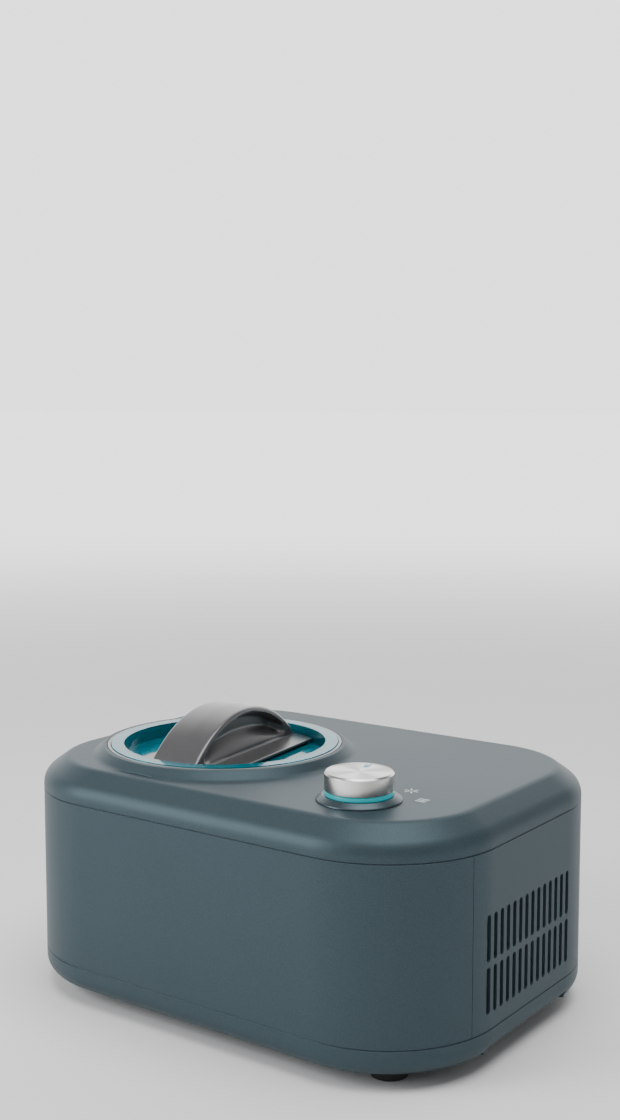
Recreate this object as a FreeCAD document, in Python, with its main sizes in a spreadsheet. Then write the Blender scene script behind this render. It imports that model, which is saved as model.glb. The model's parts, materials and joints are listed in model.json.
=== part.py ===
import FreeCAD, Part
import math
import os

import Sketcher
from FreeCAD import Placement, Rotation, Vector

# Compressor ice cream maker. Millimetres, +Z up, +X towards the vented end, +Y to the back.
# The origin is on the floor under the centre of the housing.

SIZES = (
    # housing
    ("body_length", 385), ("body_width", 286), ("corner_radius", 88), ("foot_height", 10.5),
    ("bottom_seam", 30), ("top_seam", 154), ("deck_height", 177.5), ("ring_height", 6.5),
    ("shell_wall", 2.5), ("seam_groove", 0.6), ("shoulder_inset", 18), ("shoulder_drop", 13),
    ("shoulder_round", 14), ("base_round", 12), ("relief_height", 7.5), ("relief_half", 58),
    ("panel_half", 78), ("panel_gap", 0.4), ("pillar_inset_x", 37.5), ("pillar_inset_y", 68),
    ("foot_inset_x", 54.5), ("foot_inset_y", 45),
    # vents and power inlet
    ("vent_centre", -4), ("vent_pitch", 8.83), ("vent_width", 4.6), ("vent_rows_low", 41.5),
    ("vent_slot", 32.4), ("vent_row_gap", 3.7), ("vent_count", 14), ("back_vent_count", 10),
    ("inlet_width", 31), ("inlet_height", 24), ("inlet_rise", 30),
    # well and collar
    ("well_from_left", 125.5), ("well_from_front", 124), ("lip_radius", 91.5), ("ring_flare", 9.5),
    ("lip_wall", 2.7), ("seat_width", 2.2), ("collar_draft", 1.6), ("collar_wall", 2),
    ("collar_brim", 5.5), ("seat_drop", 4), ("ledge_drop", 31), ("ledge_thick", 2.5),
    ("ledge_gap", 1.3), ("hook_depth", 4.1), ("hook_high", 4), ("hook_drop", 9),
    ("hook_angle", 35.5), ("hook_span", 11.5), ("notch_gap", 8.5), ("notch_width", 26),
    ("contact_angle", -10),
    # cold side
    ("liner_gap", 0.7), ("liner_wall", 0.8), ("liner_brim", 15.5), ("coil_tube", 3),
    ("coil_gap", 0.3), ("coil_pitch", 12), ("coil_turns", 8), ("coil_stub", 4), ("coil_rise", 16),
    ("foam_depth", 19.5), ("floor_wall", 2.5),
    # bucket
    ("bucket_top", 66.5), ("bucket_draft", 3), ("bucket_height", 133), ("bucket_wall", 1),
    ("bucket_corner", 16), ("bead", 2), ("rest_gap", 0.3), ("ear_angle", 80), ("ear_width", 21),
    ("ear_wall", 1.5), ("ear_land", 5), ("pin_radius", 4), ("pin_height", 5),
    ("bail_wire", 1.75), ("bail_inset", 2), ("bail_bend", 5), ("bail_hole", 2.1),
    ("eye_rise", 10),
    # lid
    ("lid_turn", 7), ("lid_gap", 0.6), ("flange_thick", 3), ("seal_thick", 1),
    ("skirt_gap", 4.5), ("skirt_wall", 2), ("skirt_drop", 28), ("tray_depth", 11),
    ("tray_floor", 2), ("gearbox_width", 71), ("gearbox_drop", 46), ("lug_width", 12),
    ("lug_thick", 5), ("lug_gap", 1.8), ("lug_angle", 42.5), ("lid_twist", 12.5),
    ("insert_width", 83), ("insert_drop", 7), ("insert_thick", 2), ("arch_width", 40),
    ("arch_rise", 27.5), ("arch_radius", 100), ("arch_rim", 5), ("grip_depth", 11),
    ("tube_bore", 11.6), ("tube_wall", 2), ("post_inset", 7), ("post_radius", 3.5),
    # drive
    ("gear_module", 1), ("gear_teeth", 42), ("pinion_teeth", 14), ("gear_thick", 5),
    ("backlash", 0.12), ("motor_gap", 1.4), ("motor_land", 3), ("motor_length", 24),
    ("motor_wall", 1.1), ("motor_floor", 3), ("armature_gap", 0.7), ("motor_pin", 1),
    ("shaft_radius", 4), ("bush_wall", 2), ("running", 0.05), ("tongue_flats", 5),
    ("tongue_length", 14), ("tongue_gap", 0.35),
    # paddle
    ("paddle_turn", 93.5), ("paddle_gap", 3.5), ("paddle_frame", 106), ("paddle_bar", 8),
    ("paddle_thick", 5), ("paddle_top_bar", 5), ("paddle_low_bar", 7), ("paddle_mid_bar", 6),
    ("paddle_corner", 14), ("paddle_shaft", 4.6), ("paddle_head", 8), ("paddle_flange", 10.7),
    ("paddle_rim", 3), ("paddle_neck", 13.5), ("paddle_taper", 9.5), ("paddle_hub", 10.5),
    ("hub_height", 18), ("blade_width", 20), ("blade_thick", 2.6), ("blade_tilt", 30),
    # knob
    ("knob_from_end", 92.5), ("knob_from_front", 64), ("knob_radius", 24.1),
    ("knob_height", 12.8), ("knob_flare", 6), ("knob_base_high", 4), ("glow_high", 2.8),
    ("knob_wall", 1.6), ("knob_shaft", 3), ("pointer_angle", 105), ("pointer_step", 3.84),
    ("icon_radius", 43), ("star_angle", 66), ("bars_angle", 32), ("icon_deep", 0.8),
    # machine compartment
    ("pillar_radius", 4.5), ("foot_radius", 18), ("foot_tip", 13), ("bulkhead_gap", 3),
    ("bulkhead_height", 140), ("bulkhead_side", 33), ("sheet_wall", 1.5), ("mount_rise", 8),
    ("compressor_gap", 6), ("compressor_side", 33), ("compressor_radius", 46),
    ("compressor_height", 96), ("fan_z", 77), ("fan_radius", 42), ("fan_hub", 12),
    ("duct_gap", 2), ("condenser_setback", 34.5), ("condenser_deep", 22),
    ("condenser_wide", 110), ("condenser_high", 104), ("fin_count", 19), ("fin_wall", 0.8),
    ("pipe_radius", 3), ("capillary_radius", 1.2), ("drier_radius", 8), ("drier_length", 56),
    ("drier_side", 77), ("drier_step", 30), ("suction_side", 28), ("suction_rise", 130),
    ("board_wall", 1.6), ("board_side", 37), ("screw_radius", 1.5), ("screw_head", 3.2),
)

doc = FreeCAD.newDocument("ice_cream_maker")
sheet = doc.addObject("Spreadsheet::Sheet", "Sizes")


class Dim:
    """A size: its number, and the expression that ties a property to the sheet."""

    def __init__(self, value, text):
        self.value = value
        self.text = text

    @staticmethod
    def of(size):
        return size if isinstance(size, Dim) else Dim(float(size), f"({float(size):.6f})")

    def joined(self, other, sign, value):
        return Dim(value, f"({self.text} {sign} {Dim.of(other).text})")

    def __add__(self, other):
        return self.joined(other, "+", self.value + Dim.of(other).value)

    def __sub__(self, other):
        return self.joined(other, "-", self.value - Dim.of(other).value)

    def __mul__(self, other):
        return self.joined(other, "*", self.value * Dim.of(other).value)

    def __truediv__(self, other):
        return self.joined(other, "/", self.value / Dim.of(other).value)

    def __radd__(self, other):
        return Dim.of(other) + self

    def __rsub__(self, other):
        return Dim.of(other) - self

    def __rmul__(self, other):
        return Dim.of(other) * self

    def __neg__(self):
        return Dim(-self.value, f"(-1 * {self.text})")


class Sizes:
    """The sheet's sizes as attributes, each a Dim."""

    def __init__(self):
        for row, (alias, number) in enumerate(SIZES, 1):
            sheet.set(f"A{row}", alias)
            sheet.set(f"B{row}", str(number))
            sheet.setAlias(f"B{row}", alias)
            setattr(self, alias, Dim(float(number), f"Sizes.{alias}"))


s = Sizes()
doc.recompute()

# Sizes and places that follow from others
s.well_x = s.well_from_left - s.body_length / 2
s.well_y = s.well_from_front - s.body_width / 2
s.ring_radius = s.lip_radius + s.ring_flare
s.lip_bore = s.lip_radius - s.lip_wall
s.collar_bore = s.lip_bore - s.seat_width
s.collar_bottom_bore = s.collar_bore - s.collar_draft
s.collar_flange = s.lip_radius + s.collar_brim
s.ledge_bore = s.bucket_top + s.ledge_gap
s.notch_radius = s.bucket_top + s.notch_gap
s.hook_reach = s.collar_bore - s.hook_depth
s.liner_flange = s.bucket_top + s.liner_brim
s.foam_radius = s.bucket_top + s.foam_depth
s.bucket_base = s.bucket_top - s.bucket_draft
s.bail_radius = s.bucket_top - s.bail_inset
s.lid_flange = s.lip_bore - s.lid_gap
s.skirt_outer = s.collar_bottom_bore - s.skirt_gap
s.lug_reach = s.collar_bore - s.lug_gap
s.mesh_distance = s.gear_module * (s.gear_teeth + s.pinion_teeth) / 2
s.motor_radius = s.mesh_distance - s.tube_bore - s.tube_wall - s.motor_gap
s.gearbox_length = 2 * (s.mesh_distance + s.motor_radius + s.motor_land)
s.bush_radius = s.shaft_radius + s.bush_wall
s.paddle_half = s.bucket_base - s.paddle_gap
s.knob_x = s.body_length / 2 - s.knob_from_end
s.knob_y = s.knob_from_front - s.body_width / 2
s.knob_base = s.knob_radius + s.knob_flare
s.pillar_x = s.body_length / 2 - s.pillar_inset_x
s.pillar_y = s.body_width / 2 - s.pillar_inset_y
s.foot_x = s.body_length / 2 - s.foot_inset_x
s.foot_y = s.body_width / 2 - s.foot_inset_y
s.bulkhead_x = s.well_x + s.foam_radius + s.bulkhead_gap
s.compressor_x = s.bulkhead_x + s.compressor_radius + s.compressor_gap
s.compressor_y = s.body_width / 2 - s.compressor_radius - s.compressor_side
s.condenser_x = s.body_length / 2 - s.condenser_setback
s.fan_y = s.vent_centre
s.inlet_level = s.bottom_seam + s.inlet_rise
nodes = {}
cuts = []


def cosd(size):
    size = Dim.of(size)
    return Dim(math.cos(math.radians(size.value)), f"cos({size.text} * 1 deg)")


def sind(size):
    size = Dim.of(size)
    return Dim(math.sin(math.radians(size.value)), f"sin({size.text} * 1 deg)")


def bind(target, name, size):
    target.setExpression(name, Dim.of(size).text)


def place(target, x=0, y=0, z=0, axis=(0, 0, 1), turn=0):
    angle = Dim.of(turn).value
    target.Placement = Placement(Vector(0, 0, 0), Rotation(Vector(*axis), angle))
    for letter, size in zip("xyz", (x, y, z)):
        bind(target, f".Placement.Base.{letter}", size)


# Outlines. Each is a list of steps: (x, y) is a straight run to that point, and
# (x, y, radius, left) an arc to it that turns left or right.

def circle(x, y, radius):
    return ("circle", x, y, radius)


def path(*steps):
    return ("path", steps)


def rounded(x, y, length, width, radius):
    """A rectangle with round corners, centred on x, y."""
    left, right = x - length / 2, x + length / 2
    near, far = y - width / 2, y + width / 2
    return path(
        (left + radius, near), (right - radius, near), (right, near + radius, radius, True),
        (right, far - radius), (right - radius, far, radius, True), (left + radius, far),
        (left, far - radius, radius, True), (left, near + radius),
        (left + radius, near, radius, True))


def rectangle(x, y, length, width):
    left, right = x - length / 2, x + length / 2
    near, far = y - width / 2, y + width / 2
    return path((left, near), (right, near), (right, far), (left, far))


def slot(x, low, width, length):
    """An upright slot with round ends, made of two arcs at each end."""
    r = width / 2
    high = low + length
    return path(
        (x + r, low + r), (x + r, high - r), (x, high, r, True), (x - r, high - r, r, True),
        (x - r, low + r), (x, low, r, True), (x + r, low + r, r, True))


def arc_between(a, b, radius, left):
    """The circular arc from a to b with the given radius."""
    half = (b - a) * 0.5
    side = Vector(-half.y, half.x, 0).normalize()
    rise = math.sqrt(max(radius * radius - half.Length * half.Length, 0.0))
    centre = a + half + side * (rise if left else -rise)
    start, end = (a, b) if left else (b, a)
    turn = [math.atan2(p.y - centre.y, p.x - centre.x) for p in (start, end)]
    return Part.ArcOfCircle(Part.Circle(centre, Vector(0, 0, 1), radius), turn[0], turn[1])


def draw(sketch, outline):
    """Adds an outline to a sketch, with every point and radius tied to its size."""
    pins = []
    if outline[0] == "circle":
        x, y, radius = (Dim.of(part) for part in outline[1:])
        made = Part.Circle(Vector(x.value, y.value, 0), Vector(0, 0, 1), radius.value)
        index = sketch.addGeometry(made, False)
        pins = [("DistanceX", (-1, 1, index, 3), x), ("DistanceY", (-1, 1, index, 3), y),
                ("Radius", (index,), radius)]
        joins = []
    else:
        steps = [tuple(Dim.of(v) if i < 3 else v for i, v in enumerate(step))
                 for step in outline[1]]
        points = [Vector(step[0].value, step[1].value, 0) for step in steps]
        closing = (points[-1] - points[0]).Length < 1e-9
        if closing:
            points.pop()
        else:
            steps.append(steps[0][:2])
        first = sketch.GeometryCount
        geometry, ends = [], []
        for k, step in enumerate(steps[1:]):
            a, b = points[k], points[(k + 1) % len(points)]
            if len(step) == 4:
                geometry.append(arc_between(a, b, step[2].value, step[3]))
                ends.append((1, 2) if step[3] else (2, 1))
                pins.append(("Radius", (first + k,), step[2]))
            else:
                geometry.append(Part.LineSegment(a, b))
                ends.append((1, 2))
        sketch.addGeometry(geometry, False)
        count = len(geometry)
        joins = [Sketcher.Constraint("Coincident", first + k, ends[k][1],
                                     first + (k + 1) % count, ends[(k + 1) % count][0])
                 for k in range(count)]
        for k in range(count):
            for name, size in zip(("DistanceX", "DistanceY"), steps[k][:2]):
                pins.append((name, (-1, 1, first + k, ends[k][0]), size))
    base = sketch.ConstraintCount
    made = [Sketcher.Constraint(name, *where, size.value) for name, where, size in pins]
    sketch.addConstraint(made + joins)
    for k, (name, where, size) in enumerate(pins):
        if "Sizes" in size.text:
            bind(sketch, f"Constraints[{base + k}]", size)


class Piece:
    """A sub-part made as a PartDesign body."""

    def __init__(self, label, x=0, y=0, z=0, turn=0, kept=True):
        self.label = label
        self.body = doc.addObject("PartDesign::Body", label)
        self.body.Label = label
        place(self.body, x, y, z, turn=turn)
        if kept:
            nodes[label] = self.body

    def origin(self, role):
        return next(f for f in self.body.Origin.OriginFeatures if f.Role == role)

    def sketch(self, plane, outlines, start=0):
        made = self.body.newObject("Sketcher::SketchObject", f"{self.label}_sketch")
        made.AttachmentSupport = [(self.origin(f"{plane}_Plane"), "")]
        made.MapMode = "FlatFace"
        bind(made, ".AttachmentOffset.Base.z", -Dim.of(start) if plane == "XZ" else start)
        for outline in outlines:
            draw(made, outline)
        return made

    def feature(self, kind, name):
        return self.body.newObject(f"PartDesign::{kind}", f"{self.label}_{name}")

    def add(self, outlines, start, depth, plane="XY"):
        """Adds material from start along the plane's own axis."""
        made_sketch = self.sketch(plane, outlines, start)
        pad = self.feature("Pad", "pad")
        pad.Profile = made_sketch
        pad.Reversed = plane == "XZ"
        bind(pad, "Length", depth)
        return self

    def cut(self, outlines, start, depth, plane="XY"):
        """Cuts from start along the plane's own axis."""
        made_sketch = self.sketch(plane, outlines, start)
        pocket = self.feature("Pocket", "pocket")
        pocket.Profile = made_sketch
        pocket.Reversed = plane != "XZ"
        bind(pocket, "Length", depth)
        cuts.append(pocket)
        return self

    def loft(self, lower, low, upper, high, subtract=False):
        """A straight-sided transition from one outline to another."""
        kind = "SubtractiveLoft" if subtract else "AdditiveLoft"
        sketches = [self.sketch("XY", [lower], low), self.sketch("XY", [upper], high)]
        made = self.feature(kind, "loft")
        made.Profile = sketches[0]
        made.Sections = [sketches[1]]
        made.Ruled = True
        if subtract:
            cuts.append(made)
        return self

    def turned(self, outline, groove=False):
        """A shape of revolution about the upright axis: the outline holds radius and height."""
        made_sketch = self.sketch("XZ", [outline])
        made = self.feature("Groove" if groove else "Revolution", "turn")
        made.Profile = made_sketch
        made.ReferenceAxis = (made_sketch, ["V_Axis"])
        made.Angle = 360
        if groove:
            cuts.append(made)
        return self

    def row(self, count, pitch, axis):
        """Repeats the last feature in a straight row."""
        last = self.body.Tip
        made = self.feature("LinearPattern", "row")
        made.Originals = [last]
        made.Direction = (self.origin(f"{axis}_Axis"), [""])
        bind(made, "Length", pitch * (count - 1))
        made.Occurrences = int(Dim.of(count).value)
        self.body.Tip = made
        return self

    def round(self, radius, choose, kind="Fillet"):
        """Rounds or bevels the edges that choose picks."""
        doc.recompute()
        base = self.body.Tip
        names = [f"Edge{i}" for i, edge in enumerate(base.Shape.Edges, 1) if choose(edge)]
        if not names:
            raise ValueError(f"{self.label}: no edge to round")
        made = self.feature(kind, kind.lower())
        made.Base = (base, names)
        bind(made, "Radius" if kind == "Fillet" else "Size", radius)
        return self

    def bevel(self, size, choose):
        return self.round(size, choose, "Chamfer")


def level(height):
    """Picks the edges that lie wholly at one height."""
    z = Dim.of(height).value
    return lambda edge: abs(edge.BoundBox.ZMin - z) < 0.01 and abs(edge.BoundBox.ZMax - z) < 0.01


def outer_level(height, reach):
    """Picks edges at one height that go at least as far out as reach."""
    flat = level(height)
    far = Dim.of(reach).value
    return lambda edge: flat(edge) and max(
        math.hypot(v.X, v.Y) for v in edge.Vertexes) >= far


def block(name, x, y, z, length, width, height, axis=(0, 0, 1), turn=0):
    made = doc.addObject("Part::Box", name)
    for key, size in (("Length", length), ("Width", width), ("Height", height)):
        bind(made, key, size)
    place(made, x, y, z, axis, turn)
    return made


AXES = {"Z": ((0, 0, 1), 0), "X": ((0, 1, 0), 90), "Y": ((1, 0, 0), -90)}


def rod(name, x, y, z, radius, length, along="Z"):
    made = doc.addObject("Part::Cylinder", name)
    bind(made, "Radius", radius)
    bind(made, "Height", length)
    place(made, x, y, z, *AXES[along])
    return made


def taper(name, x, y, z, low, high, length, along="Z"):
    made = doc.addObject("Part::Cone", name)
    bind(made, "Radius1", low)
    bind(made, "Radius2", high)
    bind(made, "Height", length)
    place(made, x, y, z, *AXES[along])
    return made


def keep(label, made):
    made.Label = label
    nodes[label] = made
    return made


def fused(name, parts):
    made = doc.addObject("Part::MultiFuse", name)
    made.Shapes = parts
    made.Refine = True
    return made


def less(name, base, tools):
    made = doc.addObject("Part::Cut", name)
    made.Base = base
    made.Tool = tools[0] if len(tools) == 1 else fused(f"{name}_tools", tools)
    cuts.append(made)
    return made


def group(name, parts):
    made = doc.addObject("Part::Compound", name)
    made.Links = parts
    return made


def ported(name, shape, x=0, y=0, z=0, turn=0):
    """A piece whose form no feature or primitive gives, set from its computed shape."""
    made = doc.addObject("Part::Feature", name)
    made.Shape = shape
    place(made, x, y, z, turn=turn)
    return made


def bent(points, radius, bend):
    """A round bar along straight runs joined by tangent arcs."""
    spots = [Vector(*(Dim.of(v).value for v in point)) for point in points]
    edges, start = [], spots[0]
    for before, corner, after in zip(spots, spots[1:], spots[2:]):
        back = (before - corner).normalize()
        on = (after - corner).normalize()
        half = back.getAngle(on) / 2
        reach = bend / math.tan(half)
        enter, leave = corner + back * reach, corner + on * reach
        middle = (back + on).normalize()
        apex = corner + middle * (bend / math.sin(half) - bend)
        edges += [Part.LineSegment(start, enter).toShape(), Part.Arc(enter, apex, leave).toShape()]
        start = leave
    edges.append(Part.LineSegment(start, spots[-1]).toShape())
    return swept(edges, radius)


def swept(edges, radius):
    wire = Part.Wire(edges)
    first = edges[0]
    at = first.valueAt(first.FirstParameter)
    along = first.tangentAt(first.FirstParameter)
    section = Part.Wire([Part.Circle(at, along, Dim.of(radius).value).toShape()])
    return wire.makePipeShell([section], True, False)


# Heights that several pieces share
ring_top = s.deck_height + s.ring_height
cover_skin = s.deck_height - s.shell_wall
seat_level = ring_top - s.seat_drop
ledge_level = ring_top - s.ledge_drop
ledge_under = ledge_level - s.ledge_thick
hook_top = ring_top - s.hook_drop
hook_under = hook_top - s.hook_high
tray_bottom = s.foot_height + s.floor_wall
relief_floor = tray_bottom + s.relief_height
shoulder_start = s.deck_height - s.shoulder_drop
inner_length = s.body_length - 2 * s.shell_wall
inner_width = s.body_width - 2 * s.shell_wall
inner_corner = s.corner_radius - s.shell_wall
bead_centre = ledge_level + s.rest_gap + s.bead
bucket_bottom = bead_centre - s.bucket_height + s.bead
eye_level = bead_centre + s.eye_rise
seal_bottom = seat_level + s.rest_gap
flange_under = seal_bottom + s.seal_thick + s.rest_gap
flange_top = flange_under + s.flange_thick
tray_level = flange_top - s.tray_depth
tray_under = tray_level - s.tray_floor
gearbox_bottom = flange_top - s.gearbox_drop
insert_top = flange_top - s.insert_drop
insert_under = insert_top - s.insert_thick
gear_top = insert_under - 1
gear_bottom = gear_top - s.gear_thick
plate_top = gear_bottom - 0.6
plate_under = plate_top - s.sheet_wall
tube_top = plate_under
head_top = tube_top - 2 * s.tube_wall
paddle_bottom = bucket_bottom + s.bucket_wall + 1.2
coil_radius = s.bucket_top + s.liner_gap + s.liner_wall + s.coil_tube + s.coil_gap
coil_level = bucket_bottom + s.coil_rise
coil_top = coil_level + 2 * s.coil_stub + s.coil_pitch * (s.coil_turns - 1)


def full_outline(inset):
    return rounded(0, 0, s.body_length - 2 * inset, s.body_width - 2 * inset,
                   s.corner_radius - inset)


def corners(x, y):
    return [(sx * x, sy * y) for sx in (1, -1) for sy in (1, -1)]


def make_top_cover():
    """Cover with a sloped shoulder, a flat deck, the ring round the well and four pillars."""
    cover = Piece("top_cover")
    cover.add([full_outline(0)], s.top_seam, shoulder_start - s.top_seam)
    cover.loft(full_outline(0), shoulder_start, full_outline(s.shoulder_inset), s.deck_height)
    edge = s.body_width.value / 2 - 1
    cover.round(s.shoulder_round, outer_level(shoulder_start, edge))
    cover.loft(circle(s.well_x, s.well_y, s.ring_radius), s.deck_height,
               circle(s.well_x, s.well_y, s.lip_radius + 2), ring_top)
    slope = s.shoulder_inset / s.shoulder_drop
    inner_start = shoulder_start - 4
    inner_inset = s.shell_wall + slope * (cover_skin - inner_start)
    cover.cut([full_outline(s.shell_wall)], s.top_seam, inner_start - s.top_seam)
    cover.loft(full_outline(s.shell_wall), inner_start, full_outline(inner_inset), cover_skin,
               subtract=True)
    cover.cut([circle(s.well_x, s.well_y, s.lip_radius)], s.top_seam, ring_top)
    cover.cut([circle(s.knob_x, s.knob_y, s.knob_shaft + 2.5)], s.top_seam, s.deck_height)
    pillars = [circle(x, y, s.pillar_radius) for x, y in corners(s.pillar_x, s.pillar_y)]
    cover.add(pillars, s.bottom_seam + 3, inner_start - s.bottom_seam + 2)
    pilots = [circle(x, y, s.screw_radius) for x, y in corners(s.pillar_x, s.pillar_y)]
    cover.cut(pilots, s.bottom_seam + 3, 14)
    cover.cut(icon_outlines(), s.deck_height - s.icon_deep, s.icon_deep + 1)
    cover.bevel(s.seam_groove, outer_level(s.top_seam, edge))


def icon_outlines():
    """Generic marks: a six-armed star for freezing and three bars for stirring."""
    marks = []
    for angle, kind in ((s.star_angle, "star"), (s.bars_angle, "bars")):
        x = s.knob_x + s.icon_radius * cosd(angle)
        y = s.knob_y + s.icon_radius * sind(angle)
        if kind == "star":
            arms = 6
            for arm in range(arms):
                mid = 360 * arm / arms
                marks.append(bar_outline(x, y, mid, 1.6, 5.6, 1.2))
        else:
            marks += [rectangle(x, y + step, 8, 1.3) for step in (-3, 0, 3)]
    return marks


def bar_outline(x, y, angle, near, far, width):
    """A bar from one radius to another that points away from x, y."""
    out, side = (cosd(angle), sind(angle)), (-sind(angle) * width / 2, cosd(angle) * width / 2)
    corner = [(x + out[0] * d + side[0] * k, y + out[1] * d + side[1] * k)
              for d, k in ((near, -1), (far, -1), (far, 1), (near, 1))]
    return path(*corner)


def make_walls():
    """Side wall round the front, left and back, and the vented panel that closes the end."""
    height = s.top_seam - s.bottom_seam
    edge = s.body_width.value / 2 - 1
    cutter = rectangle(s.body_length / 2, 0, 60, 2 * s.panel_half)
    shell = Piece("wrap_shell")
    shell.add([full_outline(0)], s.bottom_seam, height)
    shell.cut([full_outline(s.shell_wall)], s.bottom_seam, height)
    shell.bevel(s.seam_groove, lambda e: outer_level(s.top_seam, edge)(e)
                or outer_level(s.bottom_seam, edge)(e))
    shell.cut([cutter], s.bottom_seam, height)
    shell.cut([rounded(s.compressor_x, s.inlet_level, s.inlet_width, s.inlet_height,
                       Dim.of(2))], s.body_width / 2 - 2 * s.shell_wall, 20, "XZ")
    shell.cut([slot(s.compressor_x - 128, s.bottom_seam + 24, s.vent_width, s.vent_slot)],
              s.body_width / 2 - 2 * s.shell_wall, 20, "XZ")
    shell.row(s.back_vent_count, s.vent_pitch, "X")

    panel = Piece("vent_panel")
    half = s.panel_half - s.panel_gap
    panel.add([full_outline(0)], s.bottom_seam, height)
    panel.cut([full_outline(s.shell_wall)], s.bottom_seam, height)
    panel.bevel(s.seam_groove, lambda e: outer_level(s.top_seam, edge)(e)
                or outer_level(s.bottom_seam, edge)(e))
    rest = s.body_length + 10
    panel.cut([rectangle(-60, 0, rest, 2 * s.body_width)], s.bottom_seam, height)
    panel.cut([rectangle(s.body_length / 2, side * (half + 100), 200, 200) for side in (1, -1)],
              s.bottom_seam, height)
    first = s.vent_centre - s.vent_pitch * (s.vent_count - 1) / 2
    rows = [slot(first, s.vent_rows_low + k * (s.vent_slot + s.vent_row_gap), s.vent_width,
                 s.vent_slot) for k in range(2)]
    panel.cut(rows, s.body_length / 2 - 2 * s.shell_wall, 20, "YZ")
    panel.row(s.vent_count, s.vent_pitch, "Y")


def make_base():
    """Base tray with a rounded lower edge, relieved under the vents, with screw bosses."""
    base = Piece("base_tray")
    edge = s.body_width.value / 2 - s.base_round.value - 20
    base.add([full_outline(0)], s.foot_height, s.bottom_seam - s.foot_height)
    base.round(s.base_round, outer_level(s.foot_height, edge))
    base.bevel(s.seam_groove, outer_level(s.bottom_seam, edge))
    base.cut([full_outline(s.shell_wall)], s.bottom_seam - 10, 10)
    base.loft(full_outline(s.shell_wall + 8.5), tray_bottom, full_outline(s.shell_wall),
              s.bottom_seam - 10, subtract=True)
    base.add([rectangle(s.body_length / 2 - 24, 0, 40, 2 * (s.relief_half + s.shell_wall))],
             tray_bottom - 1, relief_floor - tray_bottom + 1)
    base.cut([rounded(s.body_length / 2 + 10, 0, 78, 2 * s.relief_half, Dim.of(8))],
             s.foot_height - 1, s.relief_height + 1)
    bosses = [circle(x, y, s.pillar_radius + 0.5) for x, y in corners(s.pillar_x, s.pillar_y)]
    base.add(bosses, tray_bottom - 1, s.bottom_seam + 3 - tray_bottom + 1)
    base.cut([circle(x, y, s.screw_head + 0.3) for x, y in corners(s.pillar_x, s.pillar_y)],
             s.foot_height - 1, 6)
    base.cut([circle(x, y, s.screw_radius) for x, y in corners(s.pillar_x, s.pillar_y)],
             s.foot_height, s.bottom_seam)
    anchors = [circle(x, y, 5) for x, y in corners(s.foot_x, s.foot_y)]
    base.add(anchors, tray_bottom - 1, 12)
    base.cut([circle(x, y, s.screw_radius) for x, y in corners(s.foot_x, s.foot_y)],
             s.foot_height, 12)


def make_feet():
    """Four rubber feet, each held by a screw that is sunk in it."""
    feet, screws = [], []
    for k, (x, y) in enumerate(corners(s.foot_x, s.foot_y)):
        cone = taper(f"foot_cone_{k}", x, y, 0, s.foot_tip, s.foot_radius, s.foot_height)
        sink = rod(f"foot_sink_{k}", x, y, -1, s.screw_head + 1, 4.5)
        bore = rod(f"foot_bore_{k}", x, y, 0, s.screw_radius, s.foot_height)
        feet.append(less(f"foot_{k}", cone, [sink, bore]))
        head = rod(f"foot_screw_head_{k}", x, y, 1.3, s.screw_head, 2.2)
        shank = rod(f"foot_screw_shank_{k}", x, y, 3, s.screw_radius, 16)
        screws.append(fused(f"foot_screw_{k}", [head, shank]))
    keep("feet", group("feet_group", feet))
    keep("foot_screws", group("foot_screw_group", screws))


def make_case_screws():
    """Long screws that come up through the base into the cover's pillars."""
    screws = []
    for k, (x, y) in enumerate(corners(s.pillar_x, s.pillar_y)):
        head = rod(f"case_head_{k}", x, y, s.foot_height + 2.8, s.screw_head, 2.2)
        shank = rod(f"case_shank_{k}", x, y, s.foot_height + 4, s.screw_radius, 30)
        screws.append(fused(f"case_screw_{k}", [head, shank]))
    keep("case_screws", group("case_screw_group", screws))


def make_collar():
    """Collar in the ring: lip, seat for the lid, hooks for its lugs, ledge for the bucket."""
    lip_outer = s.lip_radius - s.panel_gap
    collar = Piece("well_collar", s.well_x, s.well_y)
    collar.turned(path(
        (s.lip_bore, ring_top), (lip_outer, ring_top), (lip_outer, cover_skin),
        (s.collar_flange, cover_skin), (s.collar_flange, cover_skin - s.collar_wall),
        (s.collar_bore + s.collar_wall, cover_skin - s.collar_wall),
        (s.collar_bottom_bore + s.collar_wall, ledge_under), (s.ledge_bore, ledge_under),
        (s.ledge_bore, ledge_level), (s.collar_bottom_bore, ledge_level),
        (s.collar_bore, seat_level), (s.lip_bore, seat_level)))
    notches = [bar_outline(0, 0, s.ear_angle + 90 * k, s.notch_radius - 8, s.notch_radius,
                           s.notch_width) for k in range(4)]
    collar.cut(notches, ledge_under - 1, s.ledge_thick + 2)
    bars = [arc_bar(s.hook_reach, s.collar_bore + 0.8, s.hook_angle + 90 * k, s.hook_span)
            for k in range(4)]
    collar.add(bars, hook_under, s.hook_high)
    ribs = [arc_bar(s.hook_reach, s.collar_bore + 0.8,
                    s.hook_angle + 90 * k - s.hook_span / 2 + 1.2, Dim.of(2.4))
            for k in range(4)]
    collar.add(ribs, ledge_level - 1, hook_under - ledge_level + 2)
    far = s.collar_bottom_bore
    socket = bar_outline(0, 0, s.contact_angle, far - 11.5, far - 0.5, 17)
    collar.cut([socket], ledge_under - 1, s.ledge_thick + 2)


def arc_bar(near, far, angle, span):
    """Part of a ring between two radii, centred on an angle."""
    a, b = angle - span / 2, angle + span / 2
    return path((far * cosd(a), far * sind(a)), (far * cosd(b), far * sind(b), far, True),
                (near * cosd(b), near * sind(b)), (near * cosd(a), near * sind(a), near, False))


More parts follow.
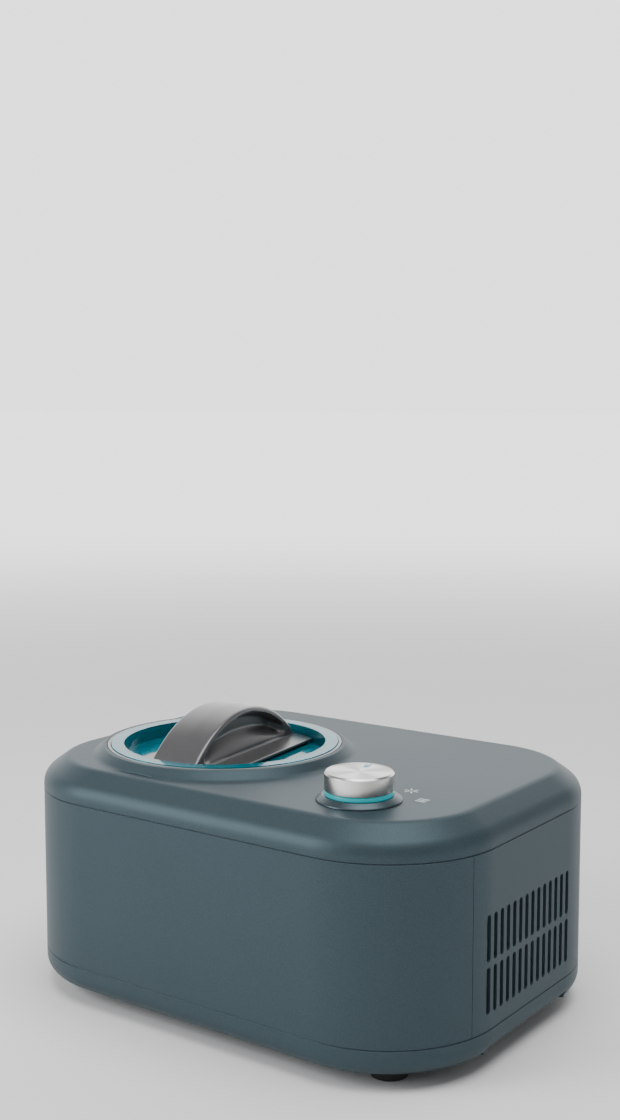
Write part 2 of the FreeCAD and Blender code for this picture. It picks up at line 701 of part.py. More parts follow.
def make_cold_side():
    """Liner, evaporator coil, foam and contact socket round the well."""
    bore = s.bucket_top + s.liner_gap
    outer = bore + s.liner_wall
    floor = bucket_bottom - s.rest_gap - 0.5
    liner = Piece("well_liner", s.well_x, s.well_y)
    liner.turned(path(
        (0, floor - s.liner_wall), (outer, floor - s.liner_wall), (outer, ledge_under - s.liner_wall),
        (s.liner_flange, ledge_under - s.liner_wall), (s.liner_flange, ledge_under),
        (bore, ledge_under), (bore, floor), (0, floor)))

    low = coil_level
    rings = []
    for k in range(int(s.coil_turns.value)):
        ring = doc.addObject("Part::Torus", f"coil_ring_{k}")
        bind(ring, "Radius1", coil_radius)
        bind(ring, "Radius2", s.coil_tube)
        place(ring, s.well_x, s.well_y, low + s.coil_stub + s.coil_pitch * k)
        rings.append(ring)
    header = rod("coil_header", s.well_x + coil_radius, s.well_y, low, s.coil_tube - 0.5,
                 coil_top - low)
    keep("evaporator_coil", fused("coil_form", rings + [header]))

    foam = Piece("insulation_foam", s.well_x, s.well_y)
    foam.add([circle(0, 0, s.foam_radius)], tray_bottom,
             ledge_under - s.liner_wall - tray_bottom)
    foam.cut([circle(0, 0, coil_radius + s.coil_tube + 0.2)], floor - s.liner_wall, s.body_length)
    foam.cut([rectangle(coil_radius + 20, -15, 48, 130)], tray_bottom + 5, s.body_length)

    socket = Piece("contact_socket", s.well_x, s.well_y)
    far = s.collar_bottom_bore
    socket.add([bar_outline(0, 0, s.contact_angle, far - 11, far - 1, 16)], ledge_under,
               s.ledge_thick)
    socket.cut([bar_outline(0, 0, s.contact_angle + k, far - 9, far - 3, 3) for k in (-3, 3)],
               ledge_level - 1, 3)


def make_bucket():
    """Removable bucket with a rolled rim and a centring pin on its floor."""
    outer_low = bucket_bottom + s.bucket_corner
    inner_corner_radius = s.bucket_corner - s.bucket_wall
    inner_base = s.bucket_base - s.bucket_wall
    floor = bucket_bottom + s.bucket_wall
    inner_top = s.bucket_top - s.bucket_wall
    bead = s.bead
    bucket = Piece("bucket", s.well_x, s.well_y, turn=s.ear_angle)
    bucket.turned(path(
        (0, bucket_bottom), (s.bucket_base - s.bucket_corner, bucket_bottom),
        (s.bucket_base, outer_low, s.bucket_corner, True), (s.bucket_top, bead_centre),
        (s.bucket_top, bead_centre + bead / 2), (inner_top, bead_centre + bead / 2),
        (inner_base, outer_low), (s.bucket_base - s.bucket_corner, floor, inner_corner_radius,
                                  False),
        (s.pin_radius, floor), (s.pin_radius, floor + s.pin_height),
        (0, floor + s.pin_height)))
    centre = s.bucket_top + 1.2
    bucket.turned(path(
        (centre + bead, bead_centre), (centre, bead_centre + bead, bead, True),
        (centre - bead, bead_centre, bead, True), (centre, bead_centre - bead, bead, True),
        (centre + bead, bead_centre, bead, True)))

    rim = centre + bead
    low = bead_centre - s.bead - 0.8
    hub = rod("rim_tool", 0, 0, 0, rim, s.body_length)
    under = rod("ear_foot_tool", 0, 0, low - 20, rim + 10, 20)
    plates, rivets = [], []
    for k, side in enumerate((1, -1)):
        inner = rim if side == 1 else -rim - s.ear_wall
        plate = block(f"ear_plate_{k}", inner - 0.35 * side, -s.ear_width / 2, low,
                      s.ear_wall + 0.35, s.ear_width, eye_level - s.ear_land - low)
        top = rod(f"ear_top_{k}", inner - 0.35 * side, 0, eye_level - s.ear_land, s.ear_width / 2,
                  s.ear_wall + 0.35, "X")
        eye = rod(f"ear_eye_{k}", inner - 2, 0, eye_level, s.bail_hole, s.ear_wall + 4, "X")
        plates.append(less(f"ear_{k}", less(f"ear_trim_{k}", fused(f"ear_blank_{k}",
                                                                  [plate, top]), [hub, under]),
                           [eye]))
        for j, y in enumerate((-6.5, 6.5)):
            stem = rod(f"rivet_{k}_{j}", inner + (s.ear_wall if side == 1 else -1.2), y,
                       bead_centre - 0.3, 1.9, 1.2, "X")
            rivets.append(stem)
    keep("bucket_ears", group("ear_group", plates))
    keep("ear_rivets", group("rivet_group", rivets))
    for label in ("bucket_ears", "ear_rivets"):
        place(nodes[label], s.well_x, s.well_y, 0, turn=s.ear_angle)

    reach = rim.value + s.ear_wall.value + 3.5
    r, bend = s.bail_radius.value, s.bail_bend.value
    right_in, right_up = Vector(r + bend, 0, 0), Vector(r, bend, 0)
    left_in, left_up = Vector(-r - bend, 0, 0), Vector(-r, bend, 0)
    turn = bend * (1 - math.sqrt(0.5))
    edges = [
        Part.LineSegment(Vector(reach, 0, 0), right_in).toShape(),
        Part.Arc(right_in, Vector(r + turn, turn, 0), right_up).toShape(),
        Part.Arc(right_up, Vector(0, bend + r, 0), left_up).toShape(),
        Part.Arc(left_up, Vector(-r - turn, turn, 0), left_in).toShape(),
        Part.LineSegment(left_in, Vector(-reach, 0, 0)).toShape()]
    wire = swept(edges, s.bail_wire)
    keep("bail", ported("bail_wire_form", wire, s.well_x, s.well_y, eye_level, s.ear_angle))


def make_lid():
    """Lid tray with flange, skirt, gearbox and lugs, its seal and its grey arch insert."""
    seal = Piece("lid_seal", s.well_x, s.well_y)
    seal.turned(path((s.collar_bore + 0.3, seal_bottom), (s.lip_bore - 0.3, seal_bottom),
                     (s.lip_bore - 0.3, seal_bottom + s.seal_thick),
                     (s.collar_bore + 0.3, seal_bottom + s.seal_thick)))

    skirt_inner = s.skirt_outer - s.skirt_wall
    skirt_low = flange_top - s.skirt_drop
    tray = Piece("lid_tray", s.well_x, s.well_y, turn=s.lid_turn)
    tray.turned(path(
        (0, tray_under), (skirt_inner, tray_under), (skirt_inner, skirt_low),
        (s.skirt_outer, skirt_low), (s.skirt_outer, flange_under), (s.lid_flange, flange_under),
        (s.lid_flange, flange_top), (skirt_inner, flange_top), (skirt_inner, tray_level),
        (0, tray_level)))
    tray.add([rounded(0, 0, s.gearbox_width, s.gearbox_length, Dim.of(6))], gearbox_bottom,
             tray_under - gearbox_bottom + 0.5)
    tray.cut([rounded(0, 0, s.gearbox_width - 2 * s.skirt_wall,
                      s.gearbox_length - 2 * s.skirt_wall, Dim.of(4))],
             gearbox_bottom + s.skirt_wall, s.gearbox_drop)
    tray.add([circle(0, 0, s.tube_bore + s.tube_wall)], gearbox_bottom,
             tube_top - gearbox_bottom)
    tray.cut([circle(0, 0, s.tube_bore)], gearbox_bottom - 1,
             tube_top - s.tube_wall - gearbox_bottom + 1)
    tray.cut([circle(0, 0, s.bush_radius)], gearbox_bottom, s.gearbox_drop)
    posts = corners(s.gearbox_width / 2 - s.post_inset, s.gearbox_length / 2 - s.post_inset)
    tray.add([circle(x, y, s.post_radius) for x, y in posts], gearbox_bottom + 1,
             plate_under - gearbox_bottom - 1)
    tray.cut([circle(x, y, s.screw_radius) for x, y in posts], plate_under - 12, 12)
    lugs = [bar_outline(0, 0, s.lug_angle + 180 * k, s.skirt_outer - 0.6, s.lug_reach,
                        s.lug_width) for k in range(2)]
    tray.add(lugs, hook_under - s.rest_gap - 0.2 - s.lug_thick, s.lug_thick)

    arch = Piece("arch_insert", s.well_x, s.well_y, turn=s.lid_turn)
    wide, reach = s.insert_width / 2, skirt_inner - 0.5
    end = Dim(math.sqrt(reach.value ** 2 - wide.value ** 2),
              f"sqrt({reach.text}^2 - {wide.text}^2)")
    arch.add([path((wide, -end), (wide, end), (-wide, end, reach, True), (-wide, -end),
                   (wide, -end, reach, True))], insert_under, s.insert_thick)
    low, crest = insert_top - 0.5, flange_top + s.arch_rise
    centre = crest - s.arch_radius
    half = Dim(math.sqrt(s.arch_radius.value ** 2 - (low.value - centre.value) ** 2),
               f"sqrt({s.arch_radius.text}^2 - ({low.text} - {centre.text})^2)")
    trim = reach - 4
    shoulder = Dim(centre.value + math.sqrt(s.arch_radius.value ** 2 - trim.value ** 2),
                   f"({centre.text} + sqrt({s.arch_radius.text}^2 - {trim.text}^2))")
    if trim.value < half.value:
        band = path((trim, low), (trim, shoulder), (-trim, shoulder, s.arch_radius, True),
                    (-trim, low))
    else:
        band = path((half, low), (-half, low, s.arch_radius, True))
    arch.add([band], -s.arch_width / 2, s.arch_width, "YZ")
    inner = s.arch_radius - s.arch_rim
    floor = insert_top + 2
    grip = Dim(math.sqrt(inner.value ** 2 - (floor.value - centre.value) ** 2),
               f"sqrt({inner.text}^2 - ({floor.text} - {centre.text})^2)")
    span = grip - 8
    scoop_rise = Dim(centre.value + math.sqrt(inner.value ** 2 - span.value ** 2),
                     f"({centre.text} + sqrt({inner.text}^2 - {span.text}^2))")
    scoop = path((span, floor), (span, scoop_rise), (-span, scoop_rise, inner, True),
                 (-span, floor))
    arch.cut([scoop], -s.arch_width / 2 - 1, s.grip_depth + 1, "YZ")
    arch.cut([scoop], s.arch_width / 2 - s.grip_depth, s.grip_depth + 1, "YZ")


def gear_shape(teeth, module, thick, bore, backlash):
    """Spur gear with involute flanks, stub teeth and a bore."""
    pitch = module * teeth / 2
    base = pitch * math.cos(math.radians(20))
    tip, root = pitch + 0.8 * module, pitch - 1.05 * module
    half = math.pi / (2 * teeth) - backlash / (2 * pitch)
    inv = math.tan(math.radians(20)) - math.radians(20)

    def flank(radius):
        if radius <= base:
            return half + inv
        roll = math.sqrt((radius / base) ** 2 - 1)
        return half + inv - (roll - math.atan(roll))

    def spot(radius, angle):
        return Vector(radius * math.cos(angle), radius * math.sin(angle), 0)

    start = max(base, root)
    radii = [start + (tip - start) * k / 4 for k in range(5)]
    edges = []
    for tooth in range(teeth):
        mid = 2 * math.pi * tooth / teeth
        after = 2 * math.pi * (tooth + 1) / teeth
        rising = [spot(r, mid - flank(r)) for r in radii]
        falling = [spot(r, mid + flank(r)) for r in reversed(radii)]
        curves = []
        for points in (rising, falling):
            curve = Part.BSplineCurve()
            curve.interpolate(points)
            curves.append(curve.toShape())
        foot = root < start - 1e-6
        if foot:
            edges.append(Part.LineSegment(spot(root, mid - flank(start)), rising[0]).toShape())
        edges += [curves[0], Part.Arc(rising[-1], spot(tip, mid), falling[0]).toShape(),
                  curves[1]]
        if foot:
            edges.append(Part.LineSegment(falling[-1], spot(root, mid + flank(start))).toShape())
        low = root if foot else start
        edges.append(Part.Arc(spot(low, mid + flank(start)), spot(low, (mid + after) / 2),
                              spot(low, after - flank(start))).toShape())
    face = Part.Face([Part.Wire(edges), Part.Wire([Part.Circle(Vector(0, 0, 0), Vector(0, 0, 1),
                                                              bore).toShape()])])
    face.validate()
    return face.extrude(Vector(0, 0, thick))


def make_drive():
    """Geared motor in the lid: can, plate, pinion, output gear, shaft, bush and screws."""
    where = dict(x=s.well_x, y=s.well_y, turn=s.lid_turn)
    can_low = plate_under - s.motor_length
    can_floor = can_low + s.motor_floor
    cavity = s.motor_radius - s.motor_wall
    can = Piece("motor_can", **where)
    can.add([circle(0, s.mesh_distance, s.motor_radius)], can_low, s.motor_length)
    can.round(1.5, level(can_low))
    can.cut([circle(0, s.mesh_distance, cavity)], can_floor, s.motor_length)
    can.cut([circle(0, s.mesh_distance, s.motor_pin + s.running)], can_low + 1, s.motor_floor)

    plate = Piece("motor_plate", **where)
    plate.add([rounded(0, 0, s.gearbox_width - 6, s.gearbox_length - 6, Dim.of(4))], plate_under,
              s.sheet_wall)
    holes = [circle(0, 0, s.shaft_radius + 1), circle(0, s.mesh_distance, 3 * s.motor_pin)]
    plate.cut(holes, plate_under - 1, s.sheet_wall + 2)
    posts = corners(s.gearbox_width / 2 - s.post_inset, s.gearbox_length / 2 - s.post_inset)
    plate.cut([circle(x, y, s.screw_radius) for x, y in posts], plate_under - 1,
              s.sheet_wall + 2)

    screws = []
    for k, (x, y) in enumerate(posts):
        head = rod(f"lid_head_{k}", x, y, plate_top, s.screw_head, 2)
        shank = rod(f"lid_shank_{k}", x, y, plate_top - 9, s.screw_radius, 10)
        screws.append(fused(f"lid_screw_{k}", [head, shank]))
    keep("lid_screws", group("lid_screw_group", screws))
    place(nodes["lid_screws"], s.well_x, s.well_y, 0, turn=s.lid_turn)

    bush = Piece("shaft_bush", **where)
    bush.turned(path((s.shaft_radius + s.running, tube_top - s.tube_wall),
                     (s.bush_radius, tube_top - s.tube_wall), (s.bush_radius, tube_top),
                     (s.shaft_radius + s.running, tube_top)))

    gear = gear_shape(int(s.gear_teeth.value), s.gear_module.value, s.gear_thick.value,
                      s.shaft_radius.value, s.backlash.value)
    keep("output_gear", ported("gear_form", gear, s.well_x, s.well_y, gear_bottom, s.lid_turn))
    pinion = gear_shape(int(s.pinion_teeth.value), s.gear_module.value,
                        s.gear_thick.value + 0.4, s.motor_pin.value, s.backlash.value)
    turned = s.lid_turn.value
    x = s.well_x - s.mesh_distance * sind(turned)
    y = s.well_y + s.mesh_distance * cosd(turned)
    keep("motor_pinion", ported("pinion_form", pinion, x, y, gear_bottom - 0.2,
                                s.lid_turn + (pinion_phase() - 90)))
    shaft_low = can_low + 1.3
    keep("motor_shaft", rod("motor_shaft_rod", x, y, shaft_low, s.motor_pin,
                            gear_top - shaft_low))
    armature = Piece("motor_armature", x, y)
    core_low = can_floor + s.armature_gap
    core_high = plate_under - s.armature_gap
    armature.add([circle(0, 0, cavity - s.armature_gap)], core_low, core_high - core_low)
    armature.cut([circle(0, 0, s.motor_pin)], core_low, core_high - core_low)

    shaft = Piece("drive_shaft", s.well_x, s.well_y, turn=s.paddle_turn)
    shaft.add([circle(0, 0, s.shaft_radius)], head_top + 0.4, gear_top - head_top - 0.4)
    flat = s.tongue_flats / 2
    across = Dim(math.sqrt(s.shaft_radius.value ** 2 - flat.value ** 2),
                 f"sqrt({s.shaft_radius.text}^2 - {flat.text}^2)")
    shaft.add([path((across, -flat), (across, flat, s.shaft_radius, True), (-across, flat),
                    (-across, -flat, s.shaft_radius, True))],
              head_top + 0.4 - s.tongue_length, s.tongue_length)

    blades = Piece("contact_blades", **where)
    lock = s.contact_angle - s.lid_turn + s.lid_twist
    far = s.collar_bottom_bore
    blades.add([bar_outline(0, 0, lock + k, far - 8, far - 7.2, 4) for k in (-3, 3)],
               ledge_level + 0.5, tray_under - ledge_level - 0.5)


def pinion_phase():
    """Turn that puts a pinion gap where the output gear has a tooth, in degrees."""
    pitch_angle = 360 / s.gear_teeth.value
    share = (90 % pitch_angle) / pitch_angle
    return (share + 0.5) * 360 / s.pinion_teeth.value


def make_paddle():
    """One-piece paddle: head, shaft, frame with windows, tilted blades and a bottom hub."""
    low = paddle_bottom
    frame_top = low + s.paddle_frame
    bar, half, thick = s.paddle_bar, s.paddle_half, s.paddle_thick
    corner, web = s.paddle_corner, s.paddle_mid_bar / 2
    core = Piece("paddle_core", kept=False)
    core.add([path((-half + corner, low), (half - corner, low), (half, low + corner, corner, True),
                   (half, frame_top), (-half, frame_top), (-half, low + corner),
                   (-half + corner, low, corner, True))], -thick / 2, thick, "XZ")
    inner = s.paddle_shaft - 1
    middle = low + s.paddle_frame * 0.5
    wide = half - bar - inner
    windows = []
    for start, end in ((middle + web, frame_top - s.paddle_top_bar),
                       (low + s.paddle_low_bar, middle - web)):
        for side in (1, -1):
            x = side * (inner + half - bar) / 2
            windows.append(rounded(x, (start + end) / 2, wide, end - start, Dim.of(3)))
    core.cut(windows, -thick, 2 * thick, "XZ")
    core.turned(path(
        (0, low), (s.paddle_hub, low), (s.paddle_hub, low + s.hub_height),
        (s.paddle_shaft, low + s.hub_height),
        (s.paddle_shaft, frame_top - s.paddle_neck - s.paddle_taper),
        (s.paddle_head, frame_top - s.paddle_neck), (s.paddle_head, head_top - s.paddle_rim),
        (s.paddle_flange, head_top - s.paddle_rim), (s.paddle_flange, head_top), (0, head_top)))
    core.cut([circle(0, 0, s.pin_radius + s.rest_gap)], low - 1, s.pin_height + 3)
    flat = s.tongue_flats / 2 + s.tongue_gap
    socket = s.shaft_radius + 0.4
    across = Dim(math.sqrt(socket.value ** 2 - flat.value ** 2),
                 f"sqrt({socket.text}^2 - {flat.text}^2)")
    core.cut([path((across, -flat), (across, flat, socket, True), (-across, flat),
                   (-across, -flat, socket, True))], head_top - s.tongue_length - 1,
             s.tongue_length + 2)
    blades = []
    reach, deep = s.blade_width / 2, s.blade_thick / 2
    rise = reach * sind(s.blade_tilt) + deep * cosd(s.blade_tilt)
    back = reach * cosd(s.blade_tilt) - deep * sind(s.blade_tilt)
    for name, z in (("middle", middle), ("bottom", low + 10)):
        blades.append(block(f"blade_{name}", -half + bar / 2, -back, z - rise, half - bar - 4,
                            s.blade_width, s.blade_thick, (1, 0, 0), s.blade_tilt))
    keep("paddle", fused("paddle_form", [core.body] + blades))
    place(nodes["paddle"], s.well_x, s.well_y, 0, turn=s.paddle_turn)


def make_knob():
    """Control knob with its light ring and base ring, and the switch below the deck."""
    where = dict(x=s.knob_x, y=s.knob_y)
    ring_high = s.deck_height + s.knob_base_high
    glow_top = ring_high + s.glow_high
    cap_low = glow_top + s.rest_gap
    cap_top = cap_low + s.knob_height
    base = Piece("knob_base_ring", **where)
    base.turned(path((s.knob_shaft + 4, s.deck_height), (s.knob_base, s.deck_height),
                     (s.knob_base, s.deck_height + 1.2), (s.knob_radius + s.knob_wall, ring_high),
                     (s.knob_shaft + 4, ring_high)))
    glow = Piece("light_ring", **where)
    glow.turned(path((s.knob_radius - 5, ring_high), (s.knob_radius + 0.5, ring_high),
                     (s.knob_radius + 0.5, glow_top), (s.knob_radius - 5, glow_top)))
    cap = Piece("knob_cap", **where)
    cap.add([circle(0, 0, s.knob_radius)], cap_low, s.knob_height)
    cap.cut([circle(0, 0, s.knob_radius - s.knob_wall)], cap_low, s.knob_height - 1.8)
    cap.bevel(1.1, level(cap_top))
    for offset in (-1, 1):
        mark = pointer_outline(offset)
        cap.cut([mark], cap_top - 0.6, 2)
    marks = Piece("knob_pointer", **where)
    marks.add([pointer_outline(offset) for offset in (-1, 1)], cap_top - 0.6, 0.6)
    hub = Piece("knob_hub", **where)
    hub_low = cap_low + 0.6
    hub.add([circle(0, 0, s.knob_radius - s.knob_wall)], cap_top - 4.8, 3)
    hub.add([circle(0, 0, 6)], hub_low, cap_top - 3 - hub_low)
    hub.cut([circle(0, 0, s.knob_shaft)], hub_low, 8)
    keep("knob_spindle", rod("spindle_rod", s.knob_x, s.knob_y, cover_skin - 12, s.knob_shaft,
                             hub_low + 8 - cover_skin + 12))

    board_level = cover_skin - 16
    switch = Piece("selector_switch", **where)
    switch.add([rectangle(0, 0, 18, 18)], board_level, 13)
    switch.add([circle(0, 0, s.knob_shaft + 2.2)], board_level + 12.5, s.deck_height - board_level
               - 12.5)
    switch.cut([circle(0, 0, s.knob_shaft + s.running)], cover_skin - 12.5, 40)

    board = Piece("control_board")
    board.add([rounded(s.knob_x + 8, s.knob_y + 8, 84, 62, Dim.of(2))], board_level
              - s.board_wall, s.board_wall)
    board.add([rectangle(s.knob_x + 26, s.knob_y + 30, 20, 6),
               rectangle(s.knob_x - 20, s.knob_y + 4, 10, 10)], board_level - s.board_wall - 4, 4)
    posts = []
    for k, (dx, dy) in enumerate(((-28, -16), (44, -16), (-28, 34), (44, 34))):
        posts.append(rod(f"board_post_{k}", s.knob_x + dx, s.knob_y + dy, board_level, 2.6,
                         cover_skin - board_level))
    keep("board_posts", group("board_post_group", posts))

    icons = Piece("icon_inlays")
    icons.add(icon_outlines(), s.deck_height - s.icon_deep, s.icon_deep)


def pointer_outline(offset):
    """A slanted bar near the knob's edge, the control's pointer."""
    return bar_outline(0, 0, s.pointer_angle + offset * s.pointer_step, s.knob_radius - 11,
                       s.knob_radius - 4, 1.4)


def make_machine():
    """Compressor, condenser, fan, pipes, boards and inlet in the machine compartment."""
    floor = tray_bottom
    cx, cy, radius = s.compressor_x, s.compressor_y, s.compressor_radius
    suction_y, suction_z = cy - s.suction_side, floor + s.suction_rise
    drier_x, drier_y = s.bulkhead_x + s.drier_step, s.drier_side - s.body_width / 2
    drier_z = floor + 2 * s.drier_radius
    bulkhead = Piece("bulkhead")
    bulkhead.add([rectangle(s.bulkhead_x, 0, s.sheet_wall, s.body_width - 2 * s.bulkhead_side)],
                 floor, s.bulkhead_height)
    bulkhead.cut([circle(suction_y, suction_z, 2 * s.pipe_radius), circle(drier_y, drier_z, 5)],
                 s.bulkhead_x - 5, 10, "YZ")

    mount_level = floor + s.mount_rise
    plate = Piece("compressor_plate")
    span = 2 * radius + 4
    plate.add([rounded(cx, cy, span, span, Dim.of(8))], mount_level, 2)
    spots = [(cx + dx, cy + dy) for dx, dy in corners(span / 2 - 8, span / 2 - 8)]
    plate.cut([circle(x, y, 2) for x, y in spots], mount_level, 3)
    grommets = [less(f"grommet_{k}", rod(f"grommet_rod_{k}", x, y, floor, 6, s.mount_rise),
                     [rod(f"grommet_bore_{k}", x, y, floor - 1, 2, 10)])
                for k, (x, y) in enumerate(spots)]
    keep("grommets", group("grommet_group", grommets))
    bolts = []
    for k, (x, y) in enumerate(spots):
        head = rod(f"mount_head_{k}", x, y, mount_level + 2, 4, 2.4)
        stem = rod(f"mount_stem_{k}", x, y, floor, 2, 11)
        bolts.append(fused(f"mount_bolt_{k}", [head, stem]))
    keep("mount_screws", group("mount_screw_group", bolts))
    shell = Piece("compressor")
    shell.turned(path((0, 0), (radius - 8, 0), (radius, 8, Dim.of(8), True),
                      (radius, s.compressor_height * 0.5), (radius + 1.5,
                                                            s.compressor_height * 0.5),
                      (radius + 1.5, s.compressor_height * 0.5 + 5),
                      (radius - 1, s.compressor_height * 0.5 + 5),
                      (radius - 1, s.compressor_height - 22),
                      (radius - 23, s.compressor_height, Dim.of(22), True),
                      (0, s.compressor_height)))
    place(shell.body, cx, cy, mount_level + 2)
    can_top = mount_level + 2 + s.compressor_height

    base_z = floor + 13
    front = s.fan_y - s.condenser_wide / 2
    fins = [block(f"fin_{k}", s.condenser_x, front + k * (s.condenser_wide - 1)
                  / (s.fin_count - 1), base_z, s.condenser_deep, s.fin_wall,
                  s.condenser_high)
            for k in range(int(s.fin_count.value))]
    rows, columns = 5, (s.condenser_x + 6, s.condenser_x + 16)
    step = (s.condenser_high - 14) / (rows - 1)
    tubes = [rod(f"tube_{c}_{k}", x, front, base_z + 7 + k * step, s.pipe_radius,
                 s.condenser_wide, "Y") for c, x in enumerate(columns) for k in range(rows)]
    feet = [block(f"condenser_foot_{k}", s.condenser_x, front + k * (s.condenser_wide - 1),
                  relief_floor, s.condenser_deep, 1, base_z - relief_floor + 1) for k in range(2)]
    port_x, port_y = columns[1], s.fan_y + s.condenser_wide / 2 - 12
    top_tube = base_z + 7 + (rows - 1) * step
    port_top = base_z + s.condenser_high + 1.5
    port = rod("condenser_port", port_x, port_y, top_tube, s.pipe_radius - 0.4,
               port_top - top_tube)
    keep("condenser", fused("condenser_form", fins + tubes + feet + [port]))

    plate_x = s.condenser_x - 6
    duct = s.fan_radius + s.duct_gap
    shroud = Piece("fan_shroud")
    shroud_high = s.condenser_high + 12
    shroud.add([rectangle(s.fan_y, relief_floor + shroud_high / 2, s.condenser_wide,
                          shroud_high)], plate_x, 2, "YZ")
    shroud.add([circle(s.fan_y, s.fan_z, duct + 2)], plate_x - 22, 22, "YZ")
    shroud.cut([circle(s.fan_y, s.fan_z, duct)], plate_x - 23, 30, "YZ")
    arms = []
    for k in range(3):
        arms.append(bar_outline(s.fan_y, s.fan_z, 90 + 120 * k, 13, duct + 1, 6))
    shroud.add(arms, plate_x - 22, 2.5, "YZ")
    shroud.add([circle(s.fan_y, s.fan_z, s.fan_hub + 4)], plate_x - 22, 2.5, "YZ")
    shroud.cut([circle(s.fan_y, s.fan_z, s.fan_hub + s.running)], plate_x - 23, 5, "YZ")

    motor = Piece("fan_motor")
    motor.add([circle(s.fan_y, s.fan_z, s.fan_hub)], plate_x - 34, 15, "YZ")
    motor.cut([circle(s.fan_y, s.fan_z, 1.5 + s.running)], plate_x - 28, 10, "YZ")
    rotor = Piece("fan_rotor_core", kept=False)
    rotor.add([circle(s.fan_y, s.fan_z, s.fan_hub + 3)], plate_x - 17, 12, "YZ")
    rotor.add([circle(s.fan_y, s.fan_z, 1.5)], plate_x - 27, 11, "YZ")
    blades = []
    count = 7
    for k in range(count):
        blades.append(fan_blade(k, count, plate_x - 10))
    keep("fan_rotor", fused("fan_rotor_form", [rotor.body] + blades))

    keep("discharge_pipe", ported("discharge", bent(
        [(cx + 18, cy - 16, can_top), (cx + 18, cy - 16, can_top + 24),
         (port_x, port_y, can_top + 24), (port_x, port_y, port_top)], s.pipe_radius, 9)))
    coil_x = s.well_x + coil_radius
    keep("suction_pipe", ported("suction", bent(
        [(coil_x, s.well_y, coil_top), (coil_x, s.well_y, suction_z),
         (coil_x, suction_y, suction_z), (cx - 12, suction_y, suction_z),
         (cx - 12, suction_y, can_top)], s.pipe_radius, 10)))
    drier = Piece("filter_drier")
    drier.turned(path((0, 0), (2, 0), (s.drier_radius, 9), (s.drier_radius, s.drier_length - 10),
                      (3.4, s.drier_length), (0, s.drier_length)))
    drier.body.Placement = Placement(Vector(0, 0, 0), Rotation(Vector(0, 1, 0), 90))
    for letter, size in zip("xyz", (drier_x, drier_y, drier_z)):
        bind(drier.body, f".Placement.Base.{letter}", size)
    keep("liquid_pipe", ported("liquid", bent(
        [(drier_x + s.drier_length, drier_y, drier_z), (columns[0], drier_y, drier_z),
         (columns[0], drier_y, base_z + 7), (columns[0], front, base_z + 7)], s.pipe_radius, 3.2)))
    keep("capillary_tube", ported("capillary", bent(
        [(drier_x, drier_y, drier_z), (coil_x, drier_y, drier_z), (coil_x, s.well_y, drier_z),
         (coil_x, s.well_y, coil_level)], s.capillary_radius, 5)))

    deck = floor + 9
    board_x, board_y = cx + 8, s.board_side - s.body_width / 2
    board = Piece("power_board")
    board.add([rounded(board_x, board_y, 96, 42, Dim.of(2))], deck, s.board_wall)
    board.add([rectangle(board_x - 28, board_y, 26, 24)], deck + s.board_wall, 22)
    board.add([rectangle(board_x + 2, board_y - 8, 19, 15)], deck + s.board_wall, 15)
    board.add([circle(board_x + 24, board_y - 8, 6), circle(board_x + 38, board_y - 8, 6),
               circle(board_x + 30, board_y + 9, 4)], deck + s.board_wall, 18)
    board.add([rectangle(board_x + 2, board_y + 12, 20, 8)], deck + s.board_wall, 9)
    posts = [rod(f"power_post_{k}", board_x + dx, board_y + dy, floor, 3, deck - floor)
             for k, (dx, dy) in enumerate(corners(42, 16))]
    keep("power_board_posts", group("power_post_group", posts))

    outer_y = s.body_width / 2 - 0.6
    socket = Piece("power_inlet")
    wide, high = s.inlet_width, s.inlet_height
    socket.add([rounded(cx, s.inlet_level, wide, high, Dim.of(2))], outer_y - 22, 22, "XZ")
    socket.add([rounded(cx, s.inlet_level, wide + 14, high + 6, Dim.of(2))],
               s.body_width / 2 - s.shell_wall - 2.5, 2.5, "XZ")
    low, high = s.inlet_level - 8, s.inlet_level + 8
    socket.cut([path((cx - 12, low), (cx + 12, low), (cx + 12, high - 4), (cx + 8, high),
                     (cx - 8, high), (cx - 12, high - 4))], outer_y - 16, 17, "XZ")
    pins = [block(f"inlet_pin_{k}", cx + dx - 1, outer_y - 16, s.inlet_level + dz - 2, 2, 9, 4)
            for k, (dx, dz) in enumerate(((-7, -2), (0, 2), (7, -2)))]
    keep("inlet_pins", group("inlet_pin_group", pins))


def fan_blade(k, count, x):
    """A flat blade tilted to the fan's axis, from the hub to near the duct."""
    made = doc.addObject("Part::Box", f"fan_blade_{k}")
    bind(made, "Length", 1.6)
    bind(made, "Width", 19)
    bind(made, "Height", s.fan_radius - 14 - 1.5)
    spin = Rotation(Vector(1, 0, 0), 360 * k / count)
    tilt = Rotation(Vector(0, 0, 1), 62)
    local = tilt.multVec(Vector(-0.8, -9.5, 14))
    turned = spin.multVec(local)
    made.Placement = Placement(turned, spin.multiply(tilt))
    for letter, size in zip("xyz", (x + turned.x, s.fan_y + turned.y, s.fan_z + turned.z)):
        bind(made, f".Placement.Base.{letter}", size)
    return made


def check_model():
    """Every object has built, every kept shape is a valid solid, and every cut removed metal."""
    doc.recompute()
    for made in doc.Objects:
        if "Invalid" in made.State or "Error" in made.State:
            raise RuntimeError(f"{made.Name} failed: {made.State}")
    for made in cuts:
        base = made.Base if made.TypeId == "Part::Cut" else made.BaseFeature
        if base.Shape.Volume - made.Shape.Volume < 0.05:
            raise RuntimeError(f"{made.Name} cuts nothing")
    for label, made in nodes.items():
        if made.Shape.isNull() or not made.Shape.isValid() or not made.Shape.Solids:
            raise RuntimeError(f"{label} is not a valid solid")


